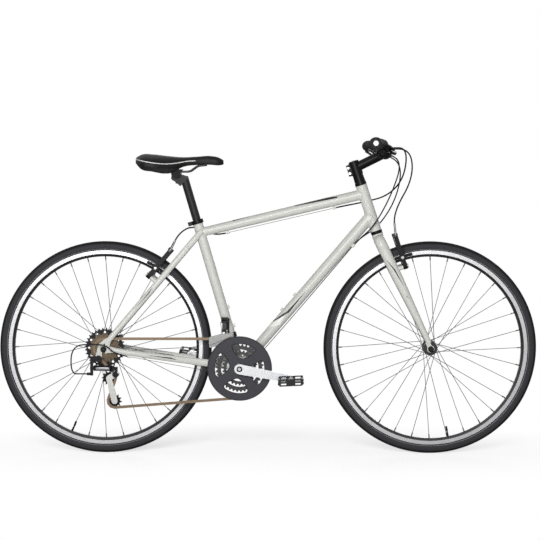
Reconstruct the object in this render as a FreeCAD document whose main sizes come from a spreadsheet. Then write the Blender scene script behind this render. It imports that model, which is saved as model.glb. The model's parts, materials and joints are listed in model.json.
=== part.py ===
"""Hybrid bicycle as a parametric document, one object to each sub-part.

Every sub-part is written to parts/ under its label. Sizes are in millimetres. +X points
forward, +Y to the rider's left and +Z up, from the ground midway between the axles.
"""

import FreeCAD, Part
import math
import operator
import os

import Sketcher
from FreeCAD import Placement, Rotation, Vector

X = Vector(1, 0, 0)
Y = Vector(0, 1, 0)
Z = Vector(0, 0, 1)

SIZES = {
    # clearances
    "seat_gap": 0.2,
    "run_gap": 0.05,
    "move_gap": 0.5,
    # wheels
    "wheelbase": 1065.0,
    "tyre_radius": 349.0,
    "tyre_section": 37.0,
    "tyre_wall": 3.5,
    "rim_radius": 319.5,
    "rim_width": 24.0,
    "rim_wall": 2.4,
    "rim_depth": 20.5,
    "rim_bed": 13.0,
    "brake_track": 11.5,
    "bead_height": 7.5,
    "rim_well": 3.0,
    "spoke_count": 32,
    "spoke_d": 2.0,
    "nipple_d": 4.0,
    "nipple_length": 12.0,
    "spoke_hole_r": 20.0,
    "flange_r": 23.5,
    "flange_thick": 3.0,
    "front_flange": 32.0,
    "rear_flange_left": 34.0,
    "rear_flange_right": 18.0,
    "front_barrel_r": 13.0,
    "rear_barrel_r": 17.0,
    "cone_r": 8.0,
    "axle_r": 4.9,
    "front_space": 100.0,
    "rear_space": 135.0,
    "dropout_thick": 6.0,
    # frame
    "chainstay": 447.1,
    "bb_drop": 64.0,
    "seat_angle": 73.6,
    "head_angle": 71.7,
    "fork_rake": 47.6,
    "fork_length": 409.0,
    "lower_stack": 10.7,
    "head_tube_length": 156.7,
    "head_tube_d": 37.0,
    "head_tube_bore": 33.8,
    "seat_tube_length": 503.0,
    "seat_tube_d": 32.6,
    "top_tube_drop": 43.0,
    "top_tube_inset": 30.0,
    "top_tube_rear_d": 29.0,
    "top_tube_front_d": 34.0,
    "down_tube_inset": 52.0,
    "down_tube_low_d": 33.0,
    "down_tube_high_d": 38.5,
    "tube_wall": 1.6,
    "top_tube_trim": 9.0,
    "bb_shell_d": 40.0,
    "bb_shell_width": 68.0,
    "bb_shell_bore": 34.6,
    "thread_d": 5.0,
    "boss_d": 11.0,
    "boss_height": 6.0,
    "pad_rise": 32.0,
    "boss_spacing": 64.0,
    "bridge_d": 12.0,
    # cables
    "brake_housing_d": 5.0,
    "shift_housing_d": 4.4,
    "cable_d": 1.6,
    # fork and headset
    "steerer_d": 28.6,
    "steerer_wall": 2.6,
    "upper_cup": 12.0,
    "cone_spacer": 24.0,
    "blade_top_spread": 36.0,
    "blade_low_spread": 53.0,
    # stem and bar
    "stem_clamp_height": 42.0,
    "stem_clamp_d": 38.0,
    "stem_length": 108.0,
    "stem_rise": 8.0,
    "stem_extension_d": 31.0,
    "bar_clamp_d": 42.0,
    "bar_clamp_width": 44.0,
    "bar_d": 22.2,
    "bar_centre_d": 31.8,
    "bar_width": 600.0,
    "bar_rise": 27.0,
    "bar_sweep": 43.0,
    "grip_length": 122.0,
    "lever_drop": 32.0,
    # seat
    "post_d": 27.2,
    "post_depth": 110.0,
    "post_rise": 138.5,
    "post_layback": 27.0,
    "clamp_r": 16.0,
    "rail_d": 7.0,
    "rail_spread": 44.0,
    "saddle_length": 281.0,
    "saddle_width": 166.0,
    # drivetrain
    "chain_pitch": 12.7,
    "roller_r": 3.85,
    "plate_r": 4.2,
    "pin_r": 1.75,
    "chain_line": 55.0,
    "ring_pitch": 7.5,
    "cog_pitch": 5.0,
    "big_ring": 48,
    "middle_ring": 38,
    "small_ring": 28,
    "driven_cog": 16,
    "pulley_teeth": 11,
    "sprocket_thick": 2.0,
    "core_r": 20.0,
    "freewheel_boss_r": 16.0,
    "guard_r": 105.5,
    "guard_thick": 3.0,
    "crank_length": 170.0,
    "crank_angle": -10.8,
    "crank_boss_r": 16.5,
    "crank_end_r": 12.5,
    "crank_thick": 14.0,
    "crank_inner": 70.0,
    "spindle_r": 8.5,
    "pedal_axle_r": 6.0,
    "pedal_length": 84.0,
    "pedal_width": 92.0,
    "pedal_height": 23.0,
    "pedal_wall": 6.0,
    # rim brakes
    "stud_r": 4.0,
    "stud_spread": 40.0,
    "arm_length": 104.0,
    "arm_boss_r": 9.0,
    "arm_top_r": 6.0,
    "arm_thick": 14.0,
    "pad_gap": 1.0,
    "pad_thick": 8.0,
    "pad_height": 9.0,
    "pad_length": 70.0,
    "noodle_r": 3.0,
    "noodle_bore_r": 2.45,
    "noodle_leg": 42.0,
    # derailleurs
    "link_length": 60.0,
    "link_gap": 16.0,
    "link_height": 16.0,
    "link_pin_r": 2.0,
    "cage_plate": 1.5,
}


class Size:
    """A number from the sheet with the expression text that gives it."""

    def __init__(self, value, text):
        self.value = float(value)
        self.text = text

    def __float__(self):
        return self.value

    def __neg__(self):
        return Size(-self.value, f"(0 - {self.text})")

    def __add__(self, other):
        return joined(self, "+", other)

    def __radd__(self, other):
        return joined(other, "+", self)

    def __sub__(self, other):
        return joined(self, "-", other)

    def __rsub__(self, other):
        return joined(other, "-", self)

    def __mul__(self, other):
        return joined(self, "*", other)

    def __rmul__(self, other):
        return joined(other, "*", self)

    def __truediv__(self, other):
        return joined(self, "/", other)


SIGNS = {"+": operator.add, "-": operator.sub, "*": operator.mul, "/": operator.truediv}


def as_size(value):
    """A plain number as a Size, and a Size as it is."""
    if isinstance(value, Size):
        return value
    return Size(value, f"({value})")


def joined(left, sign, right):
    """Two sizes joined by an arithmetic sign."""
    a = as_size(left)
    b = as_size(right)
    return Size(SIGNS[sign](a.value, b.value), f"({a.text} {sign} {b.text})")


class Sheet:
    """The sizes, each as an attribute read back from the spreadsheet."""

    def __init__(self, document):
        cells = document.addObject("Spreadsheet::Sheet", "sizes")
        for row, (name, value) in enumerate(SIZES.items(), start=1):
            cells.set(f"A{row}", name)
            cells.set(f"B{row}", str(value))
            cells.setAlias(f"B{row}", name)
        document.recompute()
        for name in SIZES:
            setattr(self, name, Size(cells.get(name), f"sizes.{name}"))


doc = FreeCAD.newDocument("hybrid_bike")
s = Sheet(doc)
nodes = []


# vectors and placements


def vec(x, y, z):
    """A vector from numbers or sizes."""
    return Vector(float(x), float(y), float(z))


def side(point, y):
    """A point of the middle plane moved out to y."""
    return vec(point.x, y, point.z)


def unit(vector):
    """The vector at length one."""
    return Vector(vector).normalize()


def leaning(angle):
    """The upward direction of a tube that leans back by an angle from level."""
    turn = math.radians(float(angle))
    return Vector(-math.cos(turn), 0, math.sin(turn))


def level(angle):
    """The direction in the side plane at an angle above forward."""
    turn = math.radians(float(angle))
    return Vector(math.cos(turn), 0, math.sin(turn))


def posed(origin, z_axis, x_axis=X):
    """The placement whose own z and x axes point along the two given."""
    return Placement(origin, Rotation(x_axis, Vector(), z_axis, "ZXY"))


def side_plane(origin):
    """The placement for an outline drawn in the side view, padded towards -Y."""
    return posed(origin, -Y, X)


# document objects


def bind(thing, **sizes):
    """Set properties of an object from sizes by expression."""
    for name, value in sizes.items():
        setattr(thing, name, float(value))
        if isinstance(value, Size):
            thing.setExpression(name, value.text)
    return thing


def cylinder(name, radius, height, base, direction=Z):
    thing = bind(doc.addObject("Part::Cylinder", name), Radius=radius, Height=height)
    thing.Placement = posed(base, direction, across(direction))
    return thing


def cone(name, radius, top_radius, height, base, direction=Z):
    thing = doc.addObject("Part::Cone", name)
    bind(thing, Radius1=radius, Radius2=top_radius, Height=height)
    seam = X if abs(direction.x) < 0.7 * direction.Length else Z
    thing.Placement = posed(base, direction, seam)
    return thing


def block(name, length, width, height, middle, z_axis=Z, x_axis=X):
    """A box about its middle, with its height along z_axis and length along x_axis."""
    thing = bind(doc.addObject("Part::Box", name), Length=length, Width=width, Height=height)
    pose = posed(middle, z_axis, x_axis)
    thing.Placement = pose * Placement(vec(-length / 2, -width / 2, -height / 2), Rotation())
    return thing


def across(direction):
    """Some direction square to the one given."""
    return X if abs(direction.x) < 0.7 * direction.Length else Y


def cut(name, base, *tools):
    """The base with each tool taken away."""
    for tool in tools:
        thing = doc.addObject("Part::Cut", name)
        thing.Base = base
        thing.Tool = tool
        base = thing
    return base


def fuse(name, *things):
    thing = doc.addObject("Part::MultiFuse", name)
    thing.Shapes = list(things)
    return thing


def solid(name, shape):
    """An object for a shape that neither a body nor a primitive fits."""
    thing = doc.addObject("Part::Feature", name)
    thing.Shape = shape
    return thing


def node(name, *things):
    """Label the object, or the group of objects, that is written as one sub-part."""
    thing = things[0]
    if len(things) > 1:
        thing = doc.addObject("Part::Compound", name)
        thing.Links = list(things)
    for other in doc.getObjectsByLabel(name):
        other.Label = f"{name}_piece"
    thing.Label = name
    nodes.append(thing)
    return thing


# sketches


def arc_between(start, end, radius):
    """The counterclockwise arc between two points, and whether it runs from the start."""
    forward = radius > 0
    p, q = (start, end) if forward else (end, start)
    reach = abs(radius)
    half = (q - p) * 0.5
    rise = math.sqrt(max(reach**2 - half.Length**2, 0))
    centre = p + half + Vector(-half.y, half.x, 0).normalize() * rise
    first = math.atan2(p.y - centre.y, p.x - centre.x)
    last = math.atan2(q.y - centre.y, q.x - centre.x)
    return Part.ArcOfCircle(Part.Circle(centre, Z, reach), first, last), forward


def pin_point(sketch, bound, index, spot, place):
    """Hold one point of a sketch at two sizes."""
    for kind, size, axis in (("DistanceX", place[0], -2), ("DistanceY", place[1], -1)):
        if float(size) == 0:
            sketch.addConstraint(Sketcher.Constraint("PointOnObject", index, spot, axis))
            continue
        number = sketch.addConstraint(Sketcher.Constraint(kind, -1, 1, index, spot, float(size)))
        bound.append((number, size))


def sketch_in(body, outline, holes=()):
    """A closed outline in a body, with round holes.

    A corner is (x, y), or (x, y, radius) where an arc leads to it: a positive radius
    turns left. A hole is (x, y, radius).
    """
    sketch = body.newObject("Sketcher::SketchObject", "outline")
    plane = [f for f in body.Origin.OriginFeatures if f.Role == "XY_Plane"][0]
    sketch.AttachmentSupport = [(plane, "")]
    sketch.MapMode = "FlatFace"
    bound = []
    ends = []
    for i, corner in enumerate(outline):
        start = vec(outline[i - 1][0], outline[i - 1][1], 0)
        end = vec(corner[0], corner[1], 0)
        if len(corner) == 2:
            index = sketch.addGeometry(Part.LineSegment(start, end), False)
            ends.append((index, 1, 2))
            continue
        arc, forward = arc_between(start, end, float(corner[2]))
        index = sketch.addGeometry(arc, False)
        ends.append((index, 1, 2) if forward else (index, 2, 1))
    for i, (index, first, last) in enumerate(ends):
        after, start, _ = ends[(i + 1) % len(ends)]
        sketch.addConstraint(Sketcher.Constraint("Coincident", index, last, after, start))
        pin_point(sketch, bound, index, last, outline[i])
        if len(outline[i]) == 3:
            reach = outline[i][2] if float(outline[i][2]) > 0 else -as_size(outline[i][2])
            number = sketch.addConstraint(Sketcher.Constraint("Radius", index, float(reach)))
            bound.append((number, reach))
    for x, y, radius in holes:
        index = sketch.addGeometry(Part.Circle(vec(x, y, 0), Z, float(radius)), False)
        pin_point(sketch, bound, index, 3, (x, y))
        number = sketch.addConstraint(Sketcher.Constraint("Radius", index, float(radius)))
        bound.append((number, radius))
    for number, size in bound:
        if isinstance(size, Size):
            sketch.setExpression(f"Constraints[{number}]", size.text)
    return sketch


def pad(name, outline, thickness, placement, holes=()):
    """A plate of the outline, thickened along the placement's own z axis."""
    body = doc.addObject("PartDesign::Body", name)
    feature = body.newObject("PartDesign::Pad", "pad")
    feature.Profile = sketch_in(body, outline, holes)
    bind(feature, Length=thickness)
    body.Placement = placement
    return body


def turned(name, outline, origin, axis=Y):
    """A body of revolution: corners are (radius, distance along the axis)."""
    body = doc.addObject("PartDesign::Body", name)
    sketch = sketch_in(body, outline)
    feature = body.newObject("PartDesign::Revolution", "revolution")
    feature.Profile = sketch
    feature.ReferenceAxis = (sketch, ["V_Axis"])
    feature.Angle = 360
    body.Placement = Placement(origin, Rotation(Y, axis))
    return body


def ring(name, inner, outer, low, high, origin, axis=Y):
    """A plain ring between two distances along its axis."""
    return turned(name, [(inner, low), (outer, low), (outer, high), (inner, high)], origin, axis)


def stadium(x, y, far_x, far_y, radius, far_radius):
    """The outline round two circles, counterclockwise."""
    start = vec(x, y, 0)
    end = vec(far_x, far_y, 0)
    ahead = unit(end - start)
    left = Vector(-ahead.y, ahead.x, 0)
    r = float(radius)
    f = float(far_radius)
    spots = (
        (start - left * r, None),
        (end - left * f, None),
        (end + ahead * f, far_radius),
        (end + left * f, far_radius),
        (start + left * r, None),
        (start - ahead * r, radius),
        (start - left * r, radius),
    )
    corners = [(p.x, p.y) if turn is None else (p.x, p.y, turn) for p, turn in spots]
    return corners[1:]


# swept and lofted shapes


def rounded_path(points, radius):
    """A wire of straight runs joined by tangent arcs of up to the given radius."""
    edges = []
    here = points[0]
    for i in range(1, len(points) - 1):
        back = unit(points[i - 1] - points[i])
        on = unit(points[i + 1] - points[i])
        half = back.getAngle(on) / 2
        room = 0.49 * min((points[i - 1] - points[i]).Length, (points[i + 1] - points[i]).Length)
        reach = min(float(radius) / math.tan(half), room)
        first = points[i] + back * reach
        last = points[i] + on * reach
        bisector = unit(back + on)
        turn = reach * math.tan(half)
        middle = points[i] + bisector * (turn / math.sin(half) - turn)
        if (first - here).Length > 1e-6:
            edges.append(Part.LineSegment(here, first).toShape())
        edges.append(Part.Arc(first, middle, last).toShape())
        here = last
    edges.append(Part.LineSegment(here, points[-1]).toShape())
    return Part.Wire(edges)


def swept(points, radius, bend):
    """A round rod along straight runs and arcs."""
    path = rounded_path(points, bend)
    circle = Part.Circle(points[0], unit(points[1] - points[0]), float(radius)).toShape()
    return path.makePipeShell([Part.Wire([circle])], True, True)


def rod(radius, start, end):
    """A straight round rod between two points."""
    return Part.makeCylinder(float(radius), (end - start).Length, start, end - start)


def oval(middle, tangent, long_axis, long_half, short_half):
    """An ellipse round a middle, square to the tangent."""
    wire = Part.Wire([Part.Ellipse(Vector(), float(long_half), float(short_half)).toShape()])
    wire.Placement = posed(middle, tangent, long_axis)
    return wire


def lofted(stations, wall=0):
    """A smooth solid through ovals, hollow where a wall is given."""
    shape = Part.makeLoft([oval(*station) for station in stations], True, False)
    if not wall:
        return shape
    w = float(wall)
    inner = [oval(m, t, a, float(p) - w, float(q) - w) for m, t, a, p, q in stations]
    return shape.cut(Part.makeLoft(inner, True, False))


def tapered_tube(name, start, end, start_d, end_d):
    """A tapered tube's outer solid and its bore."""
    length = (end - start).Length
    along = end - start
    outer = cone(name, start_d / 2, end_d / 2, length, start, along)
    w = s.tube_wall
    bore = cone(name, start_d / 2 - w, end_d / 2 - w, length, start, along)
    return outer, bore


# layout of the whole bicycle

rear_axle = vec(-s.wheelbase / 2, 0, s.tyre_radius)
front_axle = vec(s.wheelbase / 2, 0, s.tyre_radius)
bb_back = math.sqrt(float(s.chainstay) ** 2 - float(s.bb_drop) ** 2)
bb = rear_axle + vec(bb_back, 0, -s.bb_drop)
seat_up = leaning(s.seat_angle)
seat_ahead = Y.cross(seat_up)
steer_up = leaning(s.head_angle)
steer_ahead = Y.cross(steer_up)
steer_foot = front_axle - steer_ahead * float(s.fork_rake)
crown = steer_foot + steer_up * float(s.fork_length)
head_low = crown + steer_up * float(s.lower_stack)
head_high = head_low + steer_up * float(s.head_tube_length)
seat_high = bb + seat_up * float(s.seat_tube_length)
top_rear = seat_high - seat_up * float(s.top_tube_drop)
top_front = head_high - steer_up * float(s.top_tube_inset)
down_front = head_low + steer_up * float(s.down_tube_inset)
top_along = unit(top_front - top_rear)
down_along = unit(down_front - bb)
stay_low = rear_axle + Vector(14, 0, 26)
stay_along = unit(top_rear - stay_low)
stay_back = -Y.cross(stay_along)

# main tubes

seat_core = cylinder("seat_core", s.seat_tube_d / 2, s.seat_tube_length, bb, seat_up)
bb_end = bb - Y * float(s.bb_shell_width / 2)
bb_core = cylinder("bb_core", s.bb_shell_d / 2, s.bb_shell_width, bb_end, Y)
head_core = cylinder("head_core", s.head_tube_d / 2, s.head_tube_length, head_low, steer_up)
top_core, top_bore = tapered_tube(
    "top_tube", top_rear, top_front, s.top_tube_rear_d, s.top_tube_front_d
)
down_core, down_bore = tapered_tube(
    "down_tube", bb, down_front, s.down_tube_low_d, s.down_tube_high_d
)
post_bore_r = s.post_d / 2 + s.run_gap
trim_r = s.head_tube_d / 2
trim_length = s.top_tube_trim + 2
rear_trim = cylinder("rear_trim", trim_r, trim_length, top_rear - top_along * 2, top_along)
front_trim = cylinder("front_trim", trim_r, trim_length, top_front + top_along * 2, -top_along)
node(
    "main_frame",
    cut(
        "head_tube",
        head_core,
        cylinder("head_bore", s.head_tube_bore / 2, s.head_tube_length, head_low, steer_up),
    ),
    cut("top_tube", top_core, top_bore, seat_core, head_core, rear_trim, front_trim),
    cut("down_tube", down_core, down_bore, seat_core, head_core, bb_core),
    cut(
        "seat_tube",
        seat_core,
        cylinder("seat_bore", post_bore_r, s.seat_tube_length, bb, seat_up),
        bb_core,
    ),
    cut(
        "bb_shell",
        bb_core,
        cylinder("bb_bore", s.bb_shell_bore / 2, s.bb_shell_width, bb_end, Y),
    ),
)

# rear triangle

slot = s.axle_r + s.seat_gap
hanger = rear_axle + Vector(-16, 0, -31)
hanger_bolt_r = 5.0
drop_middle = s.rear_space / 2 + s.dropout_thick / 2


def dropout(way):
    """One rear dropout plate, with the derailleur hanger on the right."""
    tail = [(-18, -12), (-slot, -15)]
    holes = [(2.8, 16, s.thread_d / 2)]
    if way < 0:
        tail = [(-25, -20), (-27, -31), (-16, -42, 11), (-5.4, -31, 11), (-5.4, -22), (-slot, -20)]
        holes.append((-16, -31, hanger_bolt_r + s.run_gap))
    outline = [
        (slot, -15),
        (14, -12),
        (38, -12),
        (40, 3),
        (19, 9),
        (25, 30),
        (14, 37),
        (3, 32),
        (-15, 17),
        (-20, 2),
        *tail,
        (-slot, 0),
        (0, slot, -slot),
        (slot, 0, -slot),
    ]
    face = s.rear_space / 2 if way < 0 else s.rear_space / 2 + s.dropout_thick
    return pad("dropout", outline, s.dropout_thick, side_plane(side(rear_axle, face * way)), holes)


dropouts = {way: dropout(way) for way in (-1, 1)}
node("rear_dropouts", dropouts[-1], dropouts[1])

tyre_front = rear_axle.x + float(s.tyre_radius)
stay_clear = float(s.tyre_section) / 2 + 12.5
low_end = rear_axle + Vector(36, 0, -4.5)
chainstay_solids = {}


def chainstay(way):
    """One chainstay: an oval tube past the tyre, slotted over its dropout."""
    spots = (
        (bb.x - 10, 25, bb.z + 2, 13, 9),
        (tyre_front - 6, stay_clear, bb.z + 14, 12, 7),
        (0.5 * (tyre_front + low_end.x), stay_clear + 19, bb.z + 35, 10.5, 8.5),
        (low_end.x, float(drop_middle), low_end.z, 9, 7.4),
    )
    points = [vec(x, way * y, z) for x, y, z, _, _ in spots]
    stations = []
    for i, (_, _, _, tall, wide) in enumerate(spots):
        ahead = points[min(i + 1, 3)] - points[max(i - 1, 0)]
        stations.append((points[i], ahead, Z, tall, wide))
    chainstay_solids[way] = solid("chainstay_core", lofted(stations))
    tube = solid("chainstay", lofted(stations, s.tube_wall))
    return cut("chainstay", tube, bb_core, seat_core, dropouts[way])


def stay_point(along, y, back=0.0):
    """A point by the seatstay, from its lower end."""
    return side(stay_low + stay_along * along + stay_back * back, y)


stay_length = (top_rear - stay_low).Length
stay_stations = (
    (0.0, float(drop_middle), 9, 7.2),
    (0.36 * stay_length, 50, 9.5, 7.4),
    (0.62 * stay_length, 38, 9.8, 7.4),
    (0.84 * stay_length, 28, 10, 7.4),
    (stay_length + 6, 13, 10.2, 7.4),
)
stay_solids = {}


def seatstay(way):
    """One seatstay, bowed out past the tyre."""
    points = [stay_point(t, way * y) for t, y, _, _ in stay_stations]
    stations = []
    for i, (_, _, deep, wide) in enumerate(stay_stations):
        ahead = points[min(i + 1, 4)] - points[max(i - 1, 0)]
        stations.append((points[i], ahead, stay_back, deep, wide))
    stay_solids[way] = solid("seatstay_core", lofted(stations))
    tube = solid("seatstay", lofted(stations, s.tube_wall))
    return cut("seatstay", tube, seat_core, top_core, dropouts[way])


bridge_at = stay_point(340, 0)
stays = [seatstay(-1), seatstay(1)]
bridge = cylinder("bridge", s.bridge_d / 2, 60, bridge_at - Y * 30, Y)
node("chainstays", chainstay(-1), chainstay(1))
node("seatstays", *stays, cut("bridge", bridge, stay_solids[-1], stay_solids[1]))

# bosses, cable stops and rear brake studs

rear_pivot = stay_low + stay_along * 246.3 + stay_back * 36.0
front_pivot = front_axle + Vector(-83.0, 0, 268.6)
arm_half = s.arm_thick / 2
stud_stop = arm_half + s.move_gap


def boss(spot, out, reach, tube):
    """A threaded boss standing on a tube, with its thread clear of the tube."""
    post = cylinder("boss", s.boss_d / 2, reach + s.boss_height, spot, out)
    hole = cylinder("boss_hole", s.thread_d / 2, reach + s.boss_height, spot, out)
    relief = cylinder("boss_relief", s.thread_d / 2 + 0.7, reach + 0.6, spot, out)
    return cut("boss", post, hole, relief, tube)


def stop(spot, along, out, housing_d, *tubes):
    """A cable stop: a barrel on a foot, with the housing let in from its end."""
    barrel = cylinder("stop", 4.2, 12, spot - along * 6, along)
    foot = block("stop_foot", 12, 3, 12, spot - out * 6, out, along)
    wire = cylinder("stop_bore", s.cable_d / 2 + s.seat_gap, 14, spot - along * 7, along)
    seat = cylinder("stop_seat", housing_d / 2, 10, spot - along * 2, along)
    return cut("stop", fuse("stop", barrel, foot), wire, seat, *tubes)


def stud(pivot, axis, y, root, *tubes):
    """A brake stud with its boss and the bolt that holds the arm on."""
    base = side(pivot, y)
    foot = base - axis * root
    pieces = fuse(
        "stud",
        cylinder("stud_boss", 7, root - stud_stop, foot, axis),
        cylinder("stud_pin", s.stud_r, root + stud_stop, foot, axis),
        cylinder("stud_bolt", 6.5, 4, base + axis * float(stud_stop), axis),
    )
    return cut("stud", pieces, *tubes)


def tube_r(start_d, end_d, share):
    """A tapered tube's radius at a share of its length."""
    return (float(start_d) + (float(end_d) - float(start_d)) * share) / 2


down_up = -Y.cross(down_along)
top_down = Y.cross(top_along)
down_length = (down_front - bb).Length
top_length = (top_front - top_rear).Length
fittings = []
for t in (233.0, 233.0 + float(s.boss_spacing)):
    reach = tube_r(s.down_tube_low_d, s.down_tube_high_d, t / down_length)
    fittings.append(boss(bb + down_along * t, down_up, reach, down_core))
for t in (136.0, 136.0 + float(s.boss_spacing)):
    fittings.append(boss(bb + seat_up * t, seat_ahead, s.seat_tube_d / 2, seat_core))
for way in (-1, 1):
    spot = stay_point(402, way * 27.4)
    fittings.append(boss(spot, Y * way, 6.2, stay_solids[way]))

top_stops = []
for t, way in ((86.0, -1), (445.0, 1)):
    reach = tube_r(s.top_tube_rear_d, s.top_tube_front_d, t / top_length) + 6
    spot = top_rear + top_along * t + top_down * reach
    top_stops.append(spot)
    fittings.append(stop(spot, top_along * way, top_down, s.brake_housing_d, top_core))

down_stops = {}
for way in (-1, 1):
    t = 544.0
    out = unit(-down_up * 0.8 + Y * (0.6 * way))
    reach = tube_r(s.down_tube_low_d, s.down_tube_high_d, t / down_length) + 6
    down_stops[way] = bb + down_along * t + out * reach
    fittings.append(stop(down_stops[way], down_along, out, s.shift_housing_d, down_core))

chain_stop = vec(low_end.x + 47, -drop_middle + 5.5, low_end.z - 20.7)
stay_run = unit(Vector(-1, -0.12, 0.15))
fittings.append(stop(chain_stop, stay_run, -Z, s.shift_housing_d, chainstay_solids[-1]))
for way in (-1, 1):
    y = float(s.stud_spread) * way
    fittings.append(stud(rear_pivot, stay_back, y, 36.0, stay_solids[way]))

guide_at = bb + Vector(-6, -6, -float(s.bb_shell_d) / 2 - 2)
guide = block("cable_guide", 30, 26, 12, guide_at)
fittings.append(cut("cable_guide", guide, bb_core, down_core, seat_core))
node("frame_fittings", *fittings)

# seat clamp, headset cups and bottom bracket

collar_low = seat_high - seat_up * 13
collar_back = collar_low - seat_ahead * 23
collar = fuse(
    "collar",
    cylinder("collar_ring", s.seat_tube_d / 2 + 4, 13, collar_low, seat_up),
    block("collar_ear", 16, 20, 13, collar_back + seat_up * 6.5, seat_up, seat_ahead),
)
split = block("collar_split", 26, 2, 14, collar_back + seat_up * 6.5, seat_up, seat_ahead)
bolt_at = collar_back - seat_ahead * 1.5 + seat_up * 6.5
bolt_hole = cylinder("collar_hole", 3, 20, bolt_at - Y * 10, Y)
bolt = fuse(
    "collar_bolt",
    cylinder("bolt_shank", 3, 20, bolt_at - Y * 10, Y),
    cylinder("bolt_head", 5, 4, bolt_at - Y * 14, Y),
    cylinder("bolt_nut", 5, 4, bolt_at + Y * 10, Y),
)
node("seat_clamp", cut("collar", collar, seat_core, split, bolt_hole), bolt)

steer_r = s.steerer_d / 2
cup_bore = steer_r + s.run_gap
head_bore_r = s.head_tube_bore / 2
head_r = s.head_tube_d / 2
node(
    "headset_cups",
    turned(
        "lower_cup",
        [
            (cup_bore, s.move_gap - s.lower_stack),
            (head_r, s.move_gap - s.lower_stack),
            (head_r + 0.8, -4),
            (head_r + 0.8, 0),
            (head_bore_r, 0),
            (head_bore_r, 12),
            (cup_bore, 12),
        ],
        head_low,
        steer_up,
    ),
    turned(
        "upper_cup",
        [
            (cup_bore, -12),
            (head_bore_r, -12),
            (head_bore_r, 0),
            (head_r + 0.8, 0),
            (head_r + 0.8, 4),
            (head_r, s.upper_cup - s.move_gap),
            (cup_bore, s.upper_cup - s.move_gap),
        ],
        head_high,
        steer_up,
    ),
)

shell_half = s.bb_shell_width / 2
node(
    "bottom_bracket_unit",
    turned(
        "cartridge",
        [
            (s.spindle_r + s.run_gap, -shell_half - 3),
            (s.bb_shell_d / 2 - 1, -shell_half - 3),
            (s.bb_shell_d / 2 - 1, -shell_half),
            (s.bb_shell_bore / 2, -shell_half),
            (s.bb_shell_bore / 2, shell_half),
            (s.bb_shell_d / 2 - 1, shell_half),
            (s.bb_shell_d / 2 - 1, shell_half + 3),
            (s.spindle_r + s.run_gap, shell_half + 3),
        ],
        bb,
    ),
)

# fork

blade_low = front_axle + Vector(-5, 0, 19)
arch = crown - steer_up * 19
blade_along = unit(blade_low - arch)
blade_ahead = -Y.cross(blade_along)
blade_length = (blade_low - arch).Length


def blade_point(share, way):
    """A point on a blade's straight axis."""
    spread = s.blade_top_spread + (s.blade_low_spread - s.blade_top_spread) * share
    return side(arch + blade_along * (blade_length * share), spread * way)


def between(table, share):
    """A row of widths at a share, read between the rows of a table."""
    for (low, *start), (high, *end) in zip(table, table[1:]):
        if share <= high:
            part = (share - low) / (high - low)
            return [a + (b - a) * part for a, b in zip(start, end)]
    return list(table[-1][1:])


def fork_blade(way):
    """One blade with its shoulder, dropout, brake stud and rack eyelet."""
    out = Y * way
    path = rounded_path([side(arch, 0), blade_point(0, way), blade_point(1, way)], 30)
    spots = path.discretize(20)
    widths = ((0.0, 17.6, 16.6), (0.14, 17.9, 13.6), (0.4, 16.6, 12), (0.9, 9.6, 8), (1.0, 8.4, 7.2))
    stations = []
    for i, spot in enumerate(spots):
        ahead = spots[min(i + 1, 19)] - spots[max(i - 1, 0)]
        ahead = out if i == 0 else ahead
        deep, wide = between(widths, i / 19)
        stations.append((spot, ahead, blade_ahead, deep, wide))
    blade = solid("blade", lofted(stations))
    face = s.front_space / 2 if way > 0 else s.front_space / 2 + s.dropout_thick
    tip_at = side(front_axle, face * way)
    tip = cylinder("fork_tip", 12, s.dropout_thick, tip_at, Y)
    tab_at = side(front_axle - blade_along * 13, (s.front_space + s.dropout_thick) / 2 * way)
    tab = block("fork_tab", 15, s.dropout_thick, 26, tab_at, blade_along, blade_ahead)
    pin = stud(front_pivot, steer_ahead, float(s.stud_spread) * way, 34.0)
    spot = blade_point(0.55, way)
    lug = cylinder("fork_lug", s.boss_d / 2, 14, spot, out)
    whole = fuse("fork_side", blade, tip, tab, pin, lug)
    slot_at = side(front_axle + blade_along * 10, (s.front_space + s.dropout_thick) / 2 * way)
    opening = fuse(
        "fork_slot",
        cylinder("axle_seat", slot, s.dropout_thick + 2, tip_at - Y, Y),
        block("axle_way", slot * 2, s.dropout_thick + 2, 20, slot_at, blade_along, blade_ahead),
    )
    hole = cylinder("lug_hole", s.thread_d / 2, 10, spot + out * 4, out)
    return cut("fork_side", whole, opening, hole, crown_core)


stem_low = head_high + steer_up * float(s.upper_cup + s.cone_spacer)
stem_high = stem_low + steer_up * float(s.stem_clamp_height)
steerer_length = (stem_high - crown).Length
crown_core = cylinder("crown_core", s.head_tube_d / 2, 26, crown - steer_up * 26, steer_up)
steerer_bore = cylinder("steerer_bore", steer_r - s.steerer_wall, steerer_length, crown, steer_up)
steerer_core = cylinder("steerer_core", steer_r, steerer_length, crown, steer_up)
node("fork_steerer", fuse("fork_steerer", cut("steerer", steerer_core, steerer_bore), crown_core))
node("fork_blades", fork_blade(-1), fork_blade(1))
node(
    "headset_spacers",
    turned(
        "cone_spacer",
        [
            (steer_r, s.upper_cup),
            (head_r - 0.4, s.upper_cup),
            (s.stem_clamp_d / 2 - 2, s.upper_cup + s.cone_spacer),
            (steer_r, s.upper_cup + s.cone_spacer),
        ],
        head_high,
        steer_up,
    ),
)

# stem

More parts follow.
